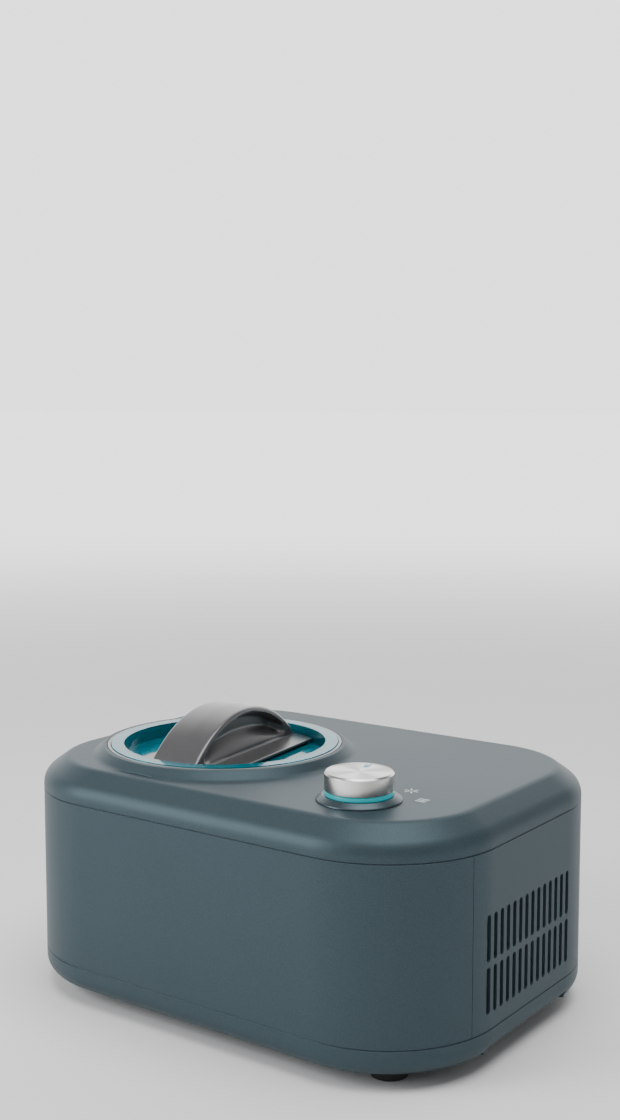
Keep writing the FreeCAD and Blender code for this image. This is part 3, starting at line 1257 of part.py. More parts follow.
def main():
    for make in (make_top_cover, make_walls, make_base, make_feet, make_case_screws, make_collar,
                 make_cold_side, make_bucket, make_lid, make_drive, make_paddle, make_knob,
                 make_machine):
        make()
    check_model()
    os.makedirs("parts", exist_ok=True)
    for label, made in nodes.items():
        made.Shape.exportStep(f"parts/{label}.step")
    print(len(nodes), "parts written")


main()
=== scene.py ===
"""Looks of a compressor ice cream maker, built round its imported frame.

Lengths are metres, +Z is up, +X points to the vented end and +Y to the back.
"""

import json
import logging
import math
from dataclasses import dataclass
from enum import Enum

import bmesh
import bpy
import numpy as np
from mathutils import Matrix, Vector


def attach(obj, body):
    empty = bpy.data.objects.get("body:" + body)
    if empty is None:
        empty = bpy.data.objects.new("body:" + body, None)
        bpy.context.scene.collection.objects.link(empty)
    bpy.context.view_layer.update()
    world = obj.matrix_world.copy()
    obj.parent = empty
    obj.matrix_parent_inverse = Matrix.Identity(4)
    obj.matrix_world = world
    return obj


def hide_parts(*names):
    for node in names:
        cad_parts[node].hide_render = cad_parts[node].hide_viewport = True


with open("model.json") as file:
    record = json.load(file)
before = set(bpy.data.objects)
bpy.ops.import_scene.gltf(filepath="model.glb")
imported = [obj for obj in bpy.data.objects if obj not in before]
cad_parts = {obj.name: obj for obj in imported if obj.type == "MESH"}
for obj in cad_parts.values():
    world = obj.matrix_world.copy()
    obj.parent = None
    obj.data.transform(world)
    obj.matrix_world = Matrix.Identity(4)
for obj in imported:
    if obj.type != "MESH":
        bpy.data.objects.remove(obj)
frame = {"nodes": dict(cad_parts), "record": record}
LOG = logging.getLogger("ice_cream_maker")
MM = 0.001
NOISE_FALL = 0.55  # strength of each finer layer of noise beside the one before
Colour = tuple[float, float, float]
Point = tuple[float, float, float]


def toned(colour: Colour, share: float) -> Colour:
    """Colour made darker or lighter by a factor, with no channel above 1."""
    return tuple(min(1.0, c * share) for c in colour)


# ---------------------------------------------------------------- shader tools


class Signal:
    """A number on a node's output, which takes part in Python expressions."""

    def __init__(self, graph: "Graph", socket: bpy.types.NodeSocket) -> None:
        """Keeps the graph and the output socket."""
        self.graph = graph
        self.socket = socket

    def _math(self, operation: str, *terms: "Signal | float") -> "Signal":
        """Adds one Math node on these terms, in order."""
        return self.graph.add("ShaderNodeMath", {"operation": operation}, dict(enumerate(terms)))

    def __add__(self, other: "Signal | float") -> "Signal":
        """Sum."""
        return self._math("ADD", self, other)

    __radd__ = __add__

    def __sub__(self, other: "Signal | float") -> "Signal":
        """Difference."""
        return self._math("SUBTRACT", self, other)

    def __rsub__(self, other: float) -> "Signal":
        """Difference from a number."""
        return self._math("SUBTRACT", other, self)

    def __mul__(self, other: "Signal | float") -> "Signal":
        """Product."""
        return self._math("MULTIPLY", self, other)

    __rmul__ = __mul__

    def above(self, level: float) -> "Signal":
        """1 where the signal is above a level, else 0."""
        return self._math("GREATER_THAN", self, level)

    def wave(self) -> "Signal":
        """Sine of the signal, in radians."""
        return self._math("SINE", self)


class Graph:
    """The node tree of one material."""

    def __init__(self, name: str) -> None:
        """Makes a material with an empty tree.

        Args:
            name: The material's name.
        """
        self.material = bpy.data.materials.new(name)
        self.material.use_nodes = True
        self.tree = self.material.node_tree
        self.tree.nodes.clear()

    def add(self, kind: str, settings: dict | None = None, sockets: dict | None = None,
            out: int | str = 0) -> Signal:
        """Adds a node, sets it up and joins it.

        Args:
            kind: The node's type.
            settings: Attributes set first; "stops" fills a colour ramp.
            sockets: Values or signals by the input's name or place.
            out: The output that is wrapped.

        Returns:
            The wrapped output.
        """
        node = self.tree.nodes.new(kind)
        for key, value in (settings or {}).items():
            if key == "stops":
                elements = node.color_ramp.elements
                while len(elements) < len(value):
                    elements.new(0.5)
                for element, (place, colour) in zip(elements, value):
                    element.position = place
                    element.color = (*colour, 1.0)
            else:
                setattr(node, key, value)
        for key, value in (sockets or {}).items():
            if isinstance(value, Signal):
                self.tree.links.new(value.socket, node.inputs[key])
            elif isinstance(value, tuple) and len(value) == 3 and node.inputs[key].type == "RGBA":
                node.inputs[key].default_value = (*value, 1.0)
            else:
                node.inputs[key].default_value = value
        return Signal(self, node.outputs[out])

    def place(self, centre: Point = (0.0, 0.0, 0.0),
              stretch: Point = (1.0, 1.0, 1.0)) -> Signal:
        """Object coordinates moved to a centre and stretched.

        Args:
            centre: The point that becomes the pattern's origin, in metres.
            stretch: How many times the pattern is squeezed along X, Y and Z.

        Returns:
            The placed coordinate.
        """
        spot = self.add("ShaderNodeTexCoord", out="Object")
        back = tuple(-c * k for c, k in zip(centre, stretch))
        return self.add("ShaderNodeMapping", {}, {"Vector": spot, "Location": back,
                                                  "Scale": stretch})

    def noise(self, spot: Signal, scale: float, detail: float = 3.0) -> Signal:
        """Fractal noise from 0 to 1 at this many features a metre."""
        return self.add("ShaderNodeTexNoise", {}, {"Vector": spot, "Scale": scale,
                                                   "Detail": detail, "Roughness": NOISE_FALL})

    def cells(self, spot: Signal, scale: float) -> Signal:
        """Distance to the nearest cell centre, for grains and pores."""
        return self.add("ShaderNodeTexVoronoi", {}, {"Vector": spot, "Scale": scale},
                        out="Distance")

    def axis(self, spot: Signal, letter: str) -> Signal:
        """One coordinate of a vector."""
        return self.add("ShaderNodeSeparateXYZ", {}, {"Vector": spot}, out=letter)

    def distance(self, spot: Signal) -> Signal:
        """Distance from the vertical axis of a placed coordinate."""
        flat = self.add("ShaderNodeVectorMath", {"operation": "MULTIPLY"},
                        {0: spot, 1: (1.0, 1.0, 0.0)})
        return self.add("ShaderNodeVectorMath", {"operation": "LENGTH"}, {0: flat}, out="Value")

    def blend(self, share: Signal, low: "Colour | Signal", high: "Colour | Signal") -> Signal:
        """Colour between two colours."""
        return self.add("ShaderNodeMix", {"data_type": "RGBA"},
                        {"Factor": share, 6: low, 7: high}, out=2)

    def bump(self, height: Signal, strength: float, depth: float) -> Signal:
        """Normal from a height pattern, depth in metres."""
        return self.add("ShaderNodeBump", {}, {"Height": height, "Strength": strength,
                                               "Distance": depth})

    def surface(self, **sockets: "Signal | float | Colour") -> bpy.types.Material:
        """Closes the material with a Principled shader.

        Args:
            **sockets: Its inputs, with underscores for spaces.

        Returns:
            The finished material.
        """
        named = {key.replace("_", " "): value for key, value in sockets.items()}
        shader = self.add("ShaderNodeBsdfPrincipled", {}, named)
        self.add_output(shader)
        return self.material

    def add_output(self, shader: Signal) -> None:
        """Joins a shader to the material's output."""
        end = self.tree.nodes.new("ShaderNodeOutputMaterial")
        self.tree.links.new(shader.socket, end.inputs["Surface"])


# ---------------------------------------------------------------- finishes


@dataclass(frozen=True)
class SatinPaint:
    """Moulded and lacquered housing: metal flake under a thin satin coat."""

    name: str
    colour: Colour
    flake: Colour
    metal: float = 0.45
    rough: float = 0.4
    coat: float = 0.25
    sheen: float = 0.5
    flakes_per_metre: float = 2600.0
    flake_size: float = 0.34
    flake_share: float = 0.35
    cloud: float = 0.07
    peel: float = 0.4 * MM

    def material(self) -> bpy.types.Material:
        """Fine flakes, slow clouds in tone, an orange-peel skin.

        Returns:
            The finished material.
        """
        g = Graph(self.name)
        spot = g.place()
        flakes = g.cells(spot, self.flakes_per_metre)
        clouds = g.noise(spot, 9.0, 2.0)
        tone = g.blend(clouds, toned(self.colour, 1 - self.cloud),
                       toned(self.colour, 1 + self.cloud))
        colour = g.blend((self.flake_size - flakes).above(0.0) * self.flake_share, tone,
                         self.flake)
        skin = g.noise(spot, 700.0, 2.0) + g.noise(spot, 90.0, 1.0) * 0.6
        return g.surface(Base_Color=colour, Metallic=self.metal, Coat_Weight=self.coat,
                         Coat_Roughness=0.28, Specular_IOR_Level=self.sheen,
                         Roughness=clouds * 0.06 + (self.rough - 0.03),
                         Normal=g.bump(skin, 0.06, self.peel))


@dataclass(frozen=True)
class TintedClear:
    """Clear moulded plastic with a strong tint."""

    name: str
    colour: Colour
    deep: Colour
    rough: float = 0.06
    clear: float = 0.78
    bend: float = 1.45

    def material(self) -> bpy.types.Material:
        """Tint that varies slightly in the melt, with faint flow lines.

        Returns:
            The finished material.
        """
        g = Graph(self.name)
        spot = g.place()
        melt = g.noise(spot, 14.0, 2.0)
        flow = g.noise(spot, 160.0, 2.0)
        return g.surface(Base_Color=g.blend(melt, self.colour, self.deep), IOR=self.bend,
                         Transmission_Weight=self.clear, Roughness=flow * 0.05 + self.rough,
                         Normal=g.bump(flow, 0.05, 0.4 * MM))


@dataclass(frozen=True)
class Milky:
    """Translucent natural plastic that scatters light."""

    name: str
    colour: Colour
    depth: float = 4 * MM
    clear: float = 0.12
    rough: float = 0.36
    scatter: float = 0.5

    def material(self) -> bpy.types.Material:
        """Scattering body with soft clouds and a fine moulded skin.

        Returns:
            The finished material.
        """
        g = Graph(self.name)
        spot = g.place()
        clouds = g.noise(spot, 45.0, 3.0)
        skin = g.noise(spot, 1500.0, 2.0)
        return g.surface(Base_Color=g.blend(clouds, self.colour, toned(self.colour, 0.94)),
                         Subsurface_Weight=self.scatter, Subsurface_Scale=self.depth,
                         Transmission_Weight=self.clear, Roughness=clouds * 0.08 + self.rough,
                         Normal=g.bump(skin, 0.08, 0.2 * MM))


class Lay(Enum):
    """Which way a metal's finishing marks run."""

    ROUND = "rings round a vertical axis"
    FACED = "circles cut on a lathe"
    ALONG = "lines along X"
    DRAWN = "fine marks in all directions"


@dataclass(frozen=True)
class WorkedMetal:
    """Metal with the marks of its finishing."""

    name: str
    colour: Colour
    lay: Lay
    rough: float = 0.3
    centre: Point = (0.0, 0.0, 0.0)
    depth: float = 0.5
    dark: float = 0.86
    reflection_fans: int = 0
    reflection_turn: float = 0.9
    bright: float = 1.12

    def fan(self, g: Graph) -> Signal:
        """Painted reflection: bright and dark wedges, (1 + sin(n a + turn)) / 2 at the angle a.

        Args:
            g: The material's graph.

        Returns:
            A signal from 0 to 1.
        """
        spot = g.place(self.centre)
        angle = g.add("ShaderNodeMath", {"operation": "ARCTAN2"},
                      {0: g.axis(spot, "Y"), 1: g.axis(spot, "X")})
        return (angle * float(self.reflection_fans) + self.reflection_turn).wave() * 0.5 + 0.5

    def marks(self, g: Graph) -> Signal:
        """Height pattern of the finishing marks.

        Args:
            g: The material's graph.

        Returns:
            Noise drawn out along the lay.
        """
        stretch = {Lay.ROUND: (1.0, 1.0, 90.0), Lay.FACED: (1.0, 1.0, 1.0),
                   Lay.ALONG: (1.0, 60.0, 60.0), Lay.DRAWN: (12.0, 12.0, 12.0)}[self.lay]
        spot = g.place(self.centre, stretch)
        if self.lay is Lay.FACED:
            ring = g.distance(spot)
            line = g.add("ShaderNodeCombineXYZ", {}, {"X": ring})
            return g.noise(line, 5200.0, 3.0)
        return g.noise(spot, 55.0, 4.0)

    def material(self) -> bpy.types.Material:
        """Marks drive tone, roughness and a shallow bump; a painted reflection joins the tone.

        Returns:
            The finished material.
        """
        g = Graph(self.name)
        marks = self.marks(g)
        stain = g.noise(g.place(), 30.0, 3.0)
        share = marks * 0.6 + stain * 0.4
        # painted reflection: bright and dark wedges from the centre, mixed into the tone
        if self.reflection_fans:
            share = share * 0.35 + self.fan(g) * 0.65
        tone = g.blend(share, toned(self.colour, self.dark), toned(self.colour, self.bright))
        return g.surface(Base_Color=tone, Metallic=1.0,
                         Roughness=marks * 0.12 + (self.rough - 0.05),
                         Normal=g.bump(marks, self.depth, 0.06 * MM))


@dataclass(frozen=True)
class Moulded:
    """Opaque moulded plastic or rubber with a fine grain."""

    name: str
    colour: Colour
    rough: float = 0.5
    grain: float = 1800.0
    depth: float = 0.15
    metal: float = 0.0
    coat: float = 0.0

    def material(self) -> bpy.types.Material:
        """Spark-eroded grain and a slow change of tone.

        Returns:
            The finished material.
        """
        g = Graph(self.name)
        spot = g.place()
        grain = g.noise(spot, self.grain, 2.0)
        slow = g.noise(spot, 25.0, 2.0)
        tone = g.blend(slow, toned(self.colour, 0.88), toned(self.colour, 1.1))
        return g.surface(Base_Color=tone, Roughness=grain * 0.1 + (self.rough - 0.05),
                         Metallic=self.metal, Coat_Weight=self.coat, Coat_Roughness=0.2,
                         Normal=g.bump(grain, self.depth, 0.2 * MM))


@dataclass(frozen=True)
class Lit:
    """Light guide that glows from inside."""

    name: str
    colour: Colour
    glow: Colour
    power: float = 1.2

    def material(self) -> bpy.types.Material:
        """Glow that fades a little between its lamps.

        Returns:
            The finished material.
        """
        g = Graph(self.name)
        spot = g.place()
        lamps = g.noise(spot, 60.0, 1.0)
        return g.surface(Base_Color=g.blend(lamps, self.colour, toned(self.colour, 0.85)),
                         Roughness=0.3, Transmission_Weight=0.2, Emission_Strength=self.power,
                         Emission_Color=g.blend(lamps, self.glow, toned(self.glow, 0.8)))


@dataclass(frozen=True)
class Foam:
    """Foam poured round the well, with open pores."""

    name: str
    colour: Colour
    pores_per_metre: float = 420.0
    pit: float = 1 * MM

    def material(self) -> bpy.types.Material:
        """Pores pit the surface, and painted shade darkens each pit.

        Returns:
            The finished material.
        """
        g = Graph(self.name)
        pores = g.cells(g.place(), self.pores_per_metre)
        # painted shade: the centre of each pore is darkened to 0.55 of the foam's colour
        return g.surface(Base_Color=g.blend(pores, toned(self.colour, 0.55), self.colour),
                         Roughness=0.9, Normal=g.bump(pores, 0.7, self.pit))


@dataclass(frozen=True)
class Board:
    """Circuit board: lacquered laminate, with dark component bodies between two heights."""

    name: str
    colour: Colour
    decks: tuple[float, float] = (23.7 * MM, 157.3 * MM)
    bodies: tuple[Colour, Colour] = ((0.03, 0.03, 0.035), (0.10, 0.09, 0.08))

    def material(self) -> bpy.types.Material:
        """Tracks on both laminates, and dark bodies between the lower one and the upper one.

        Returns:
            The finished material.
        """
        g = Graph(self.name)
        spot = g.place()
        tracks = g.add("ShaderNodeTexBrick", {}, {"Vector": spot, "Scale": 220.0,
                                                  "Color1": toned(self.colour, 0.8),
                                                  "Color2": self.colour,
                                                  "Mortar": toned(self.colour, 1.7),
                                                  "Mortar Size": 0.03})
        height = g.axis(spot, "Z")
        high = height.above(self.decks[0]) - height.above(self.decks[1])
        body = g.blend(g.noise(spot, 90.0), *self.bodies)
        return g.surface(Base_Color=g.blend(high, tracks, body), Roughness=high * 0.2 + 0.3,
                         Normal=g.bump(g.noise(spot, 900.0), 0.1, 0.2 * MM))


BODY_BLUE: Colour = (0.040, 0.064, 0.076)
BODY_FLAKE: Colour = (0.11, 0.155, 0.175)
PLAIN_METAL: Colour = (0.62, 0.63, 0.64)
WELL: Point = (-0.067, -0.019, 0.0)  # the axis of well, lid, paddle and bucket
KNOB: Point = (0.100, -0.079, 0.0)  # the axis of the knob


def make_finishes() -> dict[str, bpy.types.Material]:
    """Builds every finish once.

    Returns:
        The materials by the record's slot name.
    """
    finishes = {
        "body_paint": SatinPaint("blue_grey_satin", BODY_BLUE, BODY_FLAKE, 0.42, 0.46, 0.0, 0.22),
        "collar_plastic": SatinPaint("collar_grey", (0.16, 0.19, 0.20), (0.30, 0.33, 0.34), 0.4,
                                     0.36),
        "liner_metal": WorkedMetal("liner_aluminium", PLAIN_METAL, Lay.ROUND, 0.38, WELL),
        "copper": WorkedMetal("drawn_copper", (0.80, 0.42, 0.26), Lay.DRAWN, 0.28),
        "foam": Foam("poured_foam", (0.80, 0.72, 0.50)),
        "black_plastic": Moulded("black_moulding", (0.018, 0.019, 0.021), 0.5),
        "foot_rubber": Moulded("foot_rubber", (0.022, 0.023, 0.025), 0.75, 1200.0, 0.3),
        "steel": WorkedMetal("zinc_plated_steel", PLAIN_METAL, Lay.DRAWN, 0.34),
        "compressor_paint": Moulded("black_enamel", (0.012, 0.012, 0.013), 0.28, 500.0, 0.2,
                                    coat=0.6),
        "fin_metal": WorkedMetal("fin_aluminium", (0.74, 0.75, 0.77), Lay.ALONG, 0.35),
        "board": Board("circuit_board", (0.020, 0.110, 0.050)),
        "brass": WorkedMetal("contact_brass", (0.83, 0.62, 0.28), Lay.DRAWN, 0.25),
        "dark_trim": SatinPaint("base_ring_satin", BODY_BLUE, BODY_FLAKE, 0.7, 0.40, 0.2),
        "glow": Lit("ring_glow", (0.01, 0.30, 0.34), (0.0, 0.36, 0.42), 0.55),
        "icon": Moulded("icon_ink", (0.62, 0.66, 0.68), 0.4),
        # painted reflection on the spun cap: dark=0.42 and four bright and dark wedges
        "knob_metal": WorkedMetal("spun_knob", (0.80, 0.79, 0.77), Lay.FACED, 0.26, KNOB,
                                  depth=0.9, dark=0.42, reflection_fans=4),
        "pointer": Moulded("pointer_blue", (0.16, 0.50, 0.66), 0.35),
        "seal": Milky("silicone", (0.55, 0.57, 0.58), 2 * MM, 0.0, 0.5),
        "lid_tint": TintedClear("teal_clear", (0.005, 0.50, 0.62), (0.003, 0.42, 0.54)),
        "arch_grey": SatinPaint("arch_pearl", (0.125, 0.125, 0.130), (0.30, 0.28, 0.27), 0.6, 0.32,
                                0.3),
        "gear_plastic": Moulded("acetal", (0.78, 0.76, 0.70), 0.4),
        "paddle_white": Milky("paddle_white", (0.70, 0.715, 0.72), clear=0.3),
        "bucket_metal": WorkedMetal("brushed_bucket", (0.50, 0.50, 0.51), Lay.ROUND, 0.36, WELL,
                                    depth=0.55, dark=0.78),
        "wire": WorkedMetal("polished_wire", (0.78, 0.78, 0.79), Lay.DRAWN, 0.16),
    }
    return {slot: finish.material() for slot, finish in finishes.items()}


# ---------------------------------------------------------------- surface tools


def skin(name: str, grids: list[np.ndarray], body: str, slot: str, finish: bpy.types.Material,
         sharp: float = 40.0, shut: bool = False) -> bpy.types.Object:
    """Makes a mesh from grids of points and puts it on its body.

    Cell (i, j) joins points (i, j), (i, j+1), (i+1, j+1) and (i+1, j), and the last column joins
    the first. Doubles are merged, so a row that shrinks to one point closes as a pole.

    Args:
        name: The piece's name.
        grids: Arrays of rows, columns and three coordinates, in metres.
        body: The body it rides on.
        slot: The record's material slot; not used.
        finish: Its material.
        sharp: Angle in degrees above which an edge stays sharp.
        shut: Whether the grids are closed shells, whose normals are recalculated.

    Returns:
        The new object.
    """
    spots, cells, used = [], [], 0
    for points in grids:
        rows, columns = points.shape[:2]
        index = np.arange(rows * columns).reshape(rows, columns) + used
        index = np.concatenate([index, index[:, :1]], axis=1)
        quads = np.stack([index[:-1, :-1], index[:-1, 1:], index[1:, 1:], index[1:, :-1]], -1)
        spots.append(points.reshape(-1, 3))
        cells.append(quads.reshape(-1, 4))
        used += rows * columns
    mesh = bpy.data.meshes.new(name)
    mesh.from_pydata(np.concatenate(spots).tolist(), [], np.concatenate(cells).tolist())
    work = bmesh.new()
    work.from_mesh(mesh)
    bmesh.ops.remove_doubles(work, verts=work.verts, dist=1e-6)
    if shut:
        bmesh.ops.recalc_face_normals(work, faces=work.faces)
    work.to_mesh(mesh)
    work.free()
    mesh.polygons.foreach_set("use_smooth", np.ones(len(mesh.polygons), bool))
    mesh.set_sharp_from_angle(angle=math.radians(sharp))
    mesh.materials.append(finish)
    piece = bpy.data.objects.new(name, mesh)
    bpy.context.scene.collection.objects.link(piece)
    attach(piece, body)
    return piece


def filleted(corners: list[tuple[float, float, float]], steps: int = 6) -> np.ndarray:
    """Polyline with its corners rounded.

    A corner (a, b, radius) becomes an arc tangent to both sides: the arc starts and ends at
    radius / tan(half the inner angle) from the corner.

    Args:
        corners: Points (a, b, radius); radius 0 keeps a corner sharp.
        steps: Spans in each arc.

    Returns:
        Array of points in two coordinates.
    """
    spots = np.array([c[:2] for c in corners], float)
    made = [spots[:1]]
    for before, corner, after, size in zip(spots, spots[1:], spots[2:],
                                           [c[2] for c in corners[1:-1]]):
        back, on = before - corner, after - corner
        back, on = back / np.linalg.norm(back), on / np.linalg.norm(on)
        half = math.acos(float(np.clip(back @ on, -1, 1))) / 2
        if size <= 0 or half > math.pi / 2 - 1e-3:
            made.append(corner[None])
            continue
        middle = corner + (back + on) / np.linalg.norm(back + on) * size / math.sin(half)
        first = corner + back * size / math.tan(half) - middle
        last = corner + on * size / math.tan(half) - middle
        sweep = math.pi - 2 * half
        share = np.linspace(0, 1, steps + 1)[:, None]
        made.append(middle + (first * np.sin((1 - share) * sweep) + last * np.sin(share * sweep))
                    / math.sin(sweep))
    made.append(spots[-1:])
    return np.concatenate(made)


def lathe(profile: np.ndarray, centre: tuple[float, float], segments: int = 160) -> np.ndarray:
    """Turns a profile of (radius, height) round a vertical axis.

    Point (i, j) is centre + radius_i (cos a_j, sin a_j) at height_i, with a_j evenly spaced.

    Args:
        profile: Rows of radius and height.
        centre: Where the axis stands.
        segments: Points round it.

    Returns:
        Grid of points.
    """
    angle = np.linspace(0, 2 * np.pi, segments, endpoint=False)[None, :]
    radius, height = profile[:, 0][:, None], profile[:, 1][:, None]
    return np.stack([centre[0] + radius * np.cos(angle), centre[1] + radius * np.sin(angle),
                     height + 0 * angle], axis=-1)


def rounded_outline(length: float, width: float, corner: float,
                    count: int = 64) -> tuple[np.ndarray, np.ndarray]:
    """Rounded rectangle about the origin, from the +X side counter-clockwise.

    Each quarter is an arc about (length/2 - corner, width/2 - corner), and straight sides
    join the arcs.

    Args:
        length: Size along X.
        width: Size along Y.
        corner: Corner radius.
        count: Spans in each quarter arc and each side.

    Returns:
        Points and outward normals, each an array of two columns.
    """
    normals, spots = [], []
    signs = ((1, 1), (-1, 1), (-1, -1), (1, -1))
    for k, (sx, sy) in enumerate(signs):
        angle = np.linspace(k * np.pi / 2, (k + 1) * np.pi / 2, count + 1)
        ray = np.stack([np.cos(angle), np.sin(angle)], axis=-1)
        centre = np.array([sx * (length / 2 - corner), sy * (width / 2 - corner)])
        arc = centre + corner * ray
        spots.append(arc)
        normals.append(ray)
        nx, ny = signs[(k + 1) % 4]
        following = np.array([nx * (length / 2 - corner), ny * (width / 2 - corner)])
        share = np.linspace(0, 1, count + 1)[1:-1, None]
        spots.append(arc[-1:] + (following - centre) * share)
        normals.append(np.repeat(ray[-1:], count - 1, axis=0))
    return np.concatenate(spots), np.concatenate(normals)


def moulded_rings(outline: np.ndarray, normals: np.ndarray, profile: np.ndarray) -> np.ndarray:
    """Carries a profile of (inset, height) round an outline.

    Point (i, j) is outline_j - inset_i normal_j at height_i.

    Args:
        outline: Points of the outline.
        normals: Its outward normals.
        profile: Rows of inset and height.

    Returns:
        Grid of points.
    """
    inset, height = profile[:, 0][:, None], profile[:, 1][:, None]
    flat = outline[None] - inset[..., None] * normals[None]
    return np.concatenate([flat, np.broadcast_to(height[..., None], flat.shape[:2] + (1,))], -1)


def eased(value: np.ndarray, low: float, high: float) -> np.ndarray:
    """Smooth step: 3 s^2 - 2 s^3, where s runs from 0 at low to 1 at high."""
    share = np.clip((value - low) / (high - low), 0.0, 1.0)
    return share * share * (3.0 - 2.0 * share)


def evenly(line: np.ndarray, count: int) -> np.ndarray:
    """Points at equal steps of length along a line.

    Args:
        line: Points of the line, in any number of coordinates.
        count: How many points are wanted.

    Returns:
        The new points.
    """
    steps = np.linalg.norm(np.diff(line, axis=0), axis=1)
    along = np.concatenate([[0.0], np.cumsum(steps)])
    wanted = np.linspace(0.0, along[-1], count)
    return np.stack([np.interp(wanted, along, line[:, k]) for k in range(line.shape[1])], -1)


def swung(points: np.ndarray, degrees: float, centre: tuple[float, float]) -> np.ndarray:
    """Turns local points about a vertical axis and moves them to its centre.

    Args:
        points: Array whose last axis holds three coordinates.
        degrees: The turn, counter-clockwise from above.
        centre: Where the axis stands.

    Returns:
        The moved points.
    """
    angle = math.radians(degrees)
    turn = np.array([[math.cos(angle), math.sin(angle), 0.0],
                     [-math.sin(angle), math.cos(angle), 0.0], [0.0, 0.0, 1.0]])
    return points @ turn + np.array([*centre, 0.0])


SQUARENESS = 0.45  # power that makes a bar's section a rounded rectangle


def flat_bar(line: np.ndarray, half_wide: np.ndarray, half_thick: float,
             twist: np.ndarray | float = 0.0, loop: bool = False, count: int = 28) -> np.ndarray:
    """Bar with a rounded-rectangle section along a line in the local XZ plane.

    The section is a superellipse: half_wide sgn(cos t) |cos t|^0.45 across the line and
    half_thick sgn(sin t) |sin t|^0.45 along Y, turned by the twist.

    Args:
        line: Points in X and Z.
        half_wide: Half width at each point.
        half_thick: Half thickness.
        twist: Turn of the section at each point, in radians.
        loop: Whether the line closes on itself.
        count: Points round the section.

    Returns:
        Grid of points; an open bar's ends close to a point.
    """
    if loop:
        tangent = np.roll(line, -1, axis=0) - np.roll(line, 1, axis=0)
    else:
        tangent = np.gradient(line, axis=0)
    tangent /= np.linalg.norm(tangent, axis=1)[:, None]
    turn = np.linspace(0, 2 * np.pi, count, endpoint=False)[None, :]
    wide = np.broadcast_to(half_wide, (len(line),))[:, None]
    across = wide * np.sign(np.cos(turn)) * np.abs(np.cos(turn)) ** SQUARENESS
    deep = half_thick * np.sign(np.sin(turn)) * np.abs(np.sin(turn)) ** SQUARENESS
    lean = np.broadcast_to(twist, (len(line),))[:, None]
    side = across * np.cos(lean) - deep * np.sin(lean)
    out = across * np.sin(lean) + deep * np.cos(lean)
    grid = np.stack([line[:, :1] - tangent[:, 1:] * side, out,
                     line[:, 1:] + tangent[:, :1] * side], axis=-1)
    if loop:
        return np.concatenate([grid, grid[:1]])
    ends = [np.broadcast_to(grid[k].mean(axis=0), grid[:1].shape) for k in (0, -1)]
    return np.concatenate([ends[0], grid, ends[1]])


def thicken(piece: bpy.types.Object, wall: float) -> bpy.types.Object:
    """Gives an open skin a wall behind its faces.

    Args:
        piece: The open skin.
        wall: The wall's thickness in metres.

    Returns:
        The same piece.
    """
    solid = piece.modifiers.new("wall", "SOLIDIFY")
    solid.thickness = wall
    solid.offset = -1.0
    solid.use_even_offset = True
    return piece


# ---------------------------------------------------------------- sub-assemblies


@dataclass
class TopCover:
    """Housing cover: straight skirt, sloped shoulder, deck, and the ring round the well."""

    finish: bpy.types.Material
    length: float = 385 * MM
    width: float = 286 * MM
    corner: float = 88 * MM
    seam: float = 154 * MM
    start: float = 164.5 * MM
    deck: float = 177.45 * MM
    inset: float = 18 * MM
    well: tuple[float, float] = (WELL[0], WELL[1])
    ring_foot: float = 101 * MM
    lip: float = 91.5 * MM
    ring_top: float = 184 * MM
    ring_depth: float = 9 * MM
    groove: float = 0.6 * MM
    wall: float = 2.2 * MM
    margin: float = 6 * MM
    span_rows: int = 24

    def build(self) -> bpy.types.Object:
        """Skirt and shoulder rings, then a span that runs from the deck's edge to the ring.

        Across the deck, a point is (1 - u) edge(t) + u circle(t), where circle(t) lies in the
        direction of edge(t) from the well's centre. The ring is a turned profile.

        Returns:
            The cover's skin with its wall.
        """
        edge, normals = rounded_outline(self.length, self.width, self.corner)
        outer = filleted([
            (self.groove, self.seam, 0), (0, self.seam + self.groove, 0.2 * MM),
            (0, self.start, 15 * MM), (self.inset, self.deck, 9 * MM),
            (self.inset + self.margin, self.deck, 0)], 14)
        rows = moulded_rings(edge, normals, outer)
        last = rows[-1]
        centre = np.array([*self.well, 0.0])
        ray = last - centre
        ray[:, 2] = 0
        ray /= np.linalg.norm(ray, axis=1)[:, None]
        ring = filleted([
            (self.ring_foot + 7 * MM, self.deck, 0), (self.ring_foot, self.deck, 6 * MM),
            (self.lip + 3 * MM, self.ring_top, 2.2 * MM), (self.lip, self.ring_top, 0.5 * MM),
            (self.lip, self.ring_top - self.ring_depth, 0)], 10)
        radius, height = ring[:, 0][:, None, None], ring[:, 1][:, None, None]
        room = np.linalg.norm((last - centre)[:, :2], axis=1)[None, :, None]
        lead = np.minimum(radius, room)
        ring_rows = centre + lead * ray[None] + height * np.array([0.0, 0.0, 1.0])
        share = np.linspace(0, 1, self.span_rows + 2)[1:-1, None, None]
        span = last[None] * (1 - share) + ring_rows[:1] * share
        piece = skin("cover_skin", [np.concatenate([rows, span, ring_rows])], "housing",
                     "body_paint", self.finish)
        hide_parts("top_cover")
        return thicken(piece, self.wall)


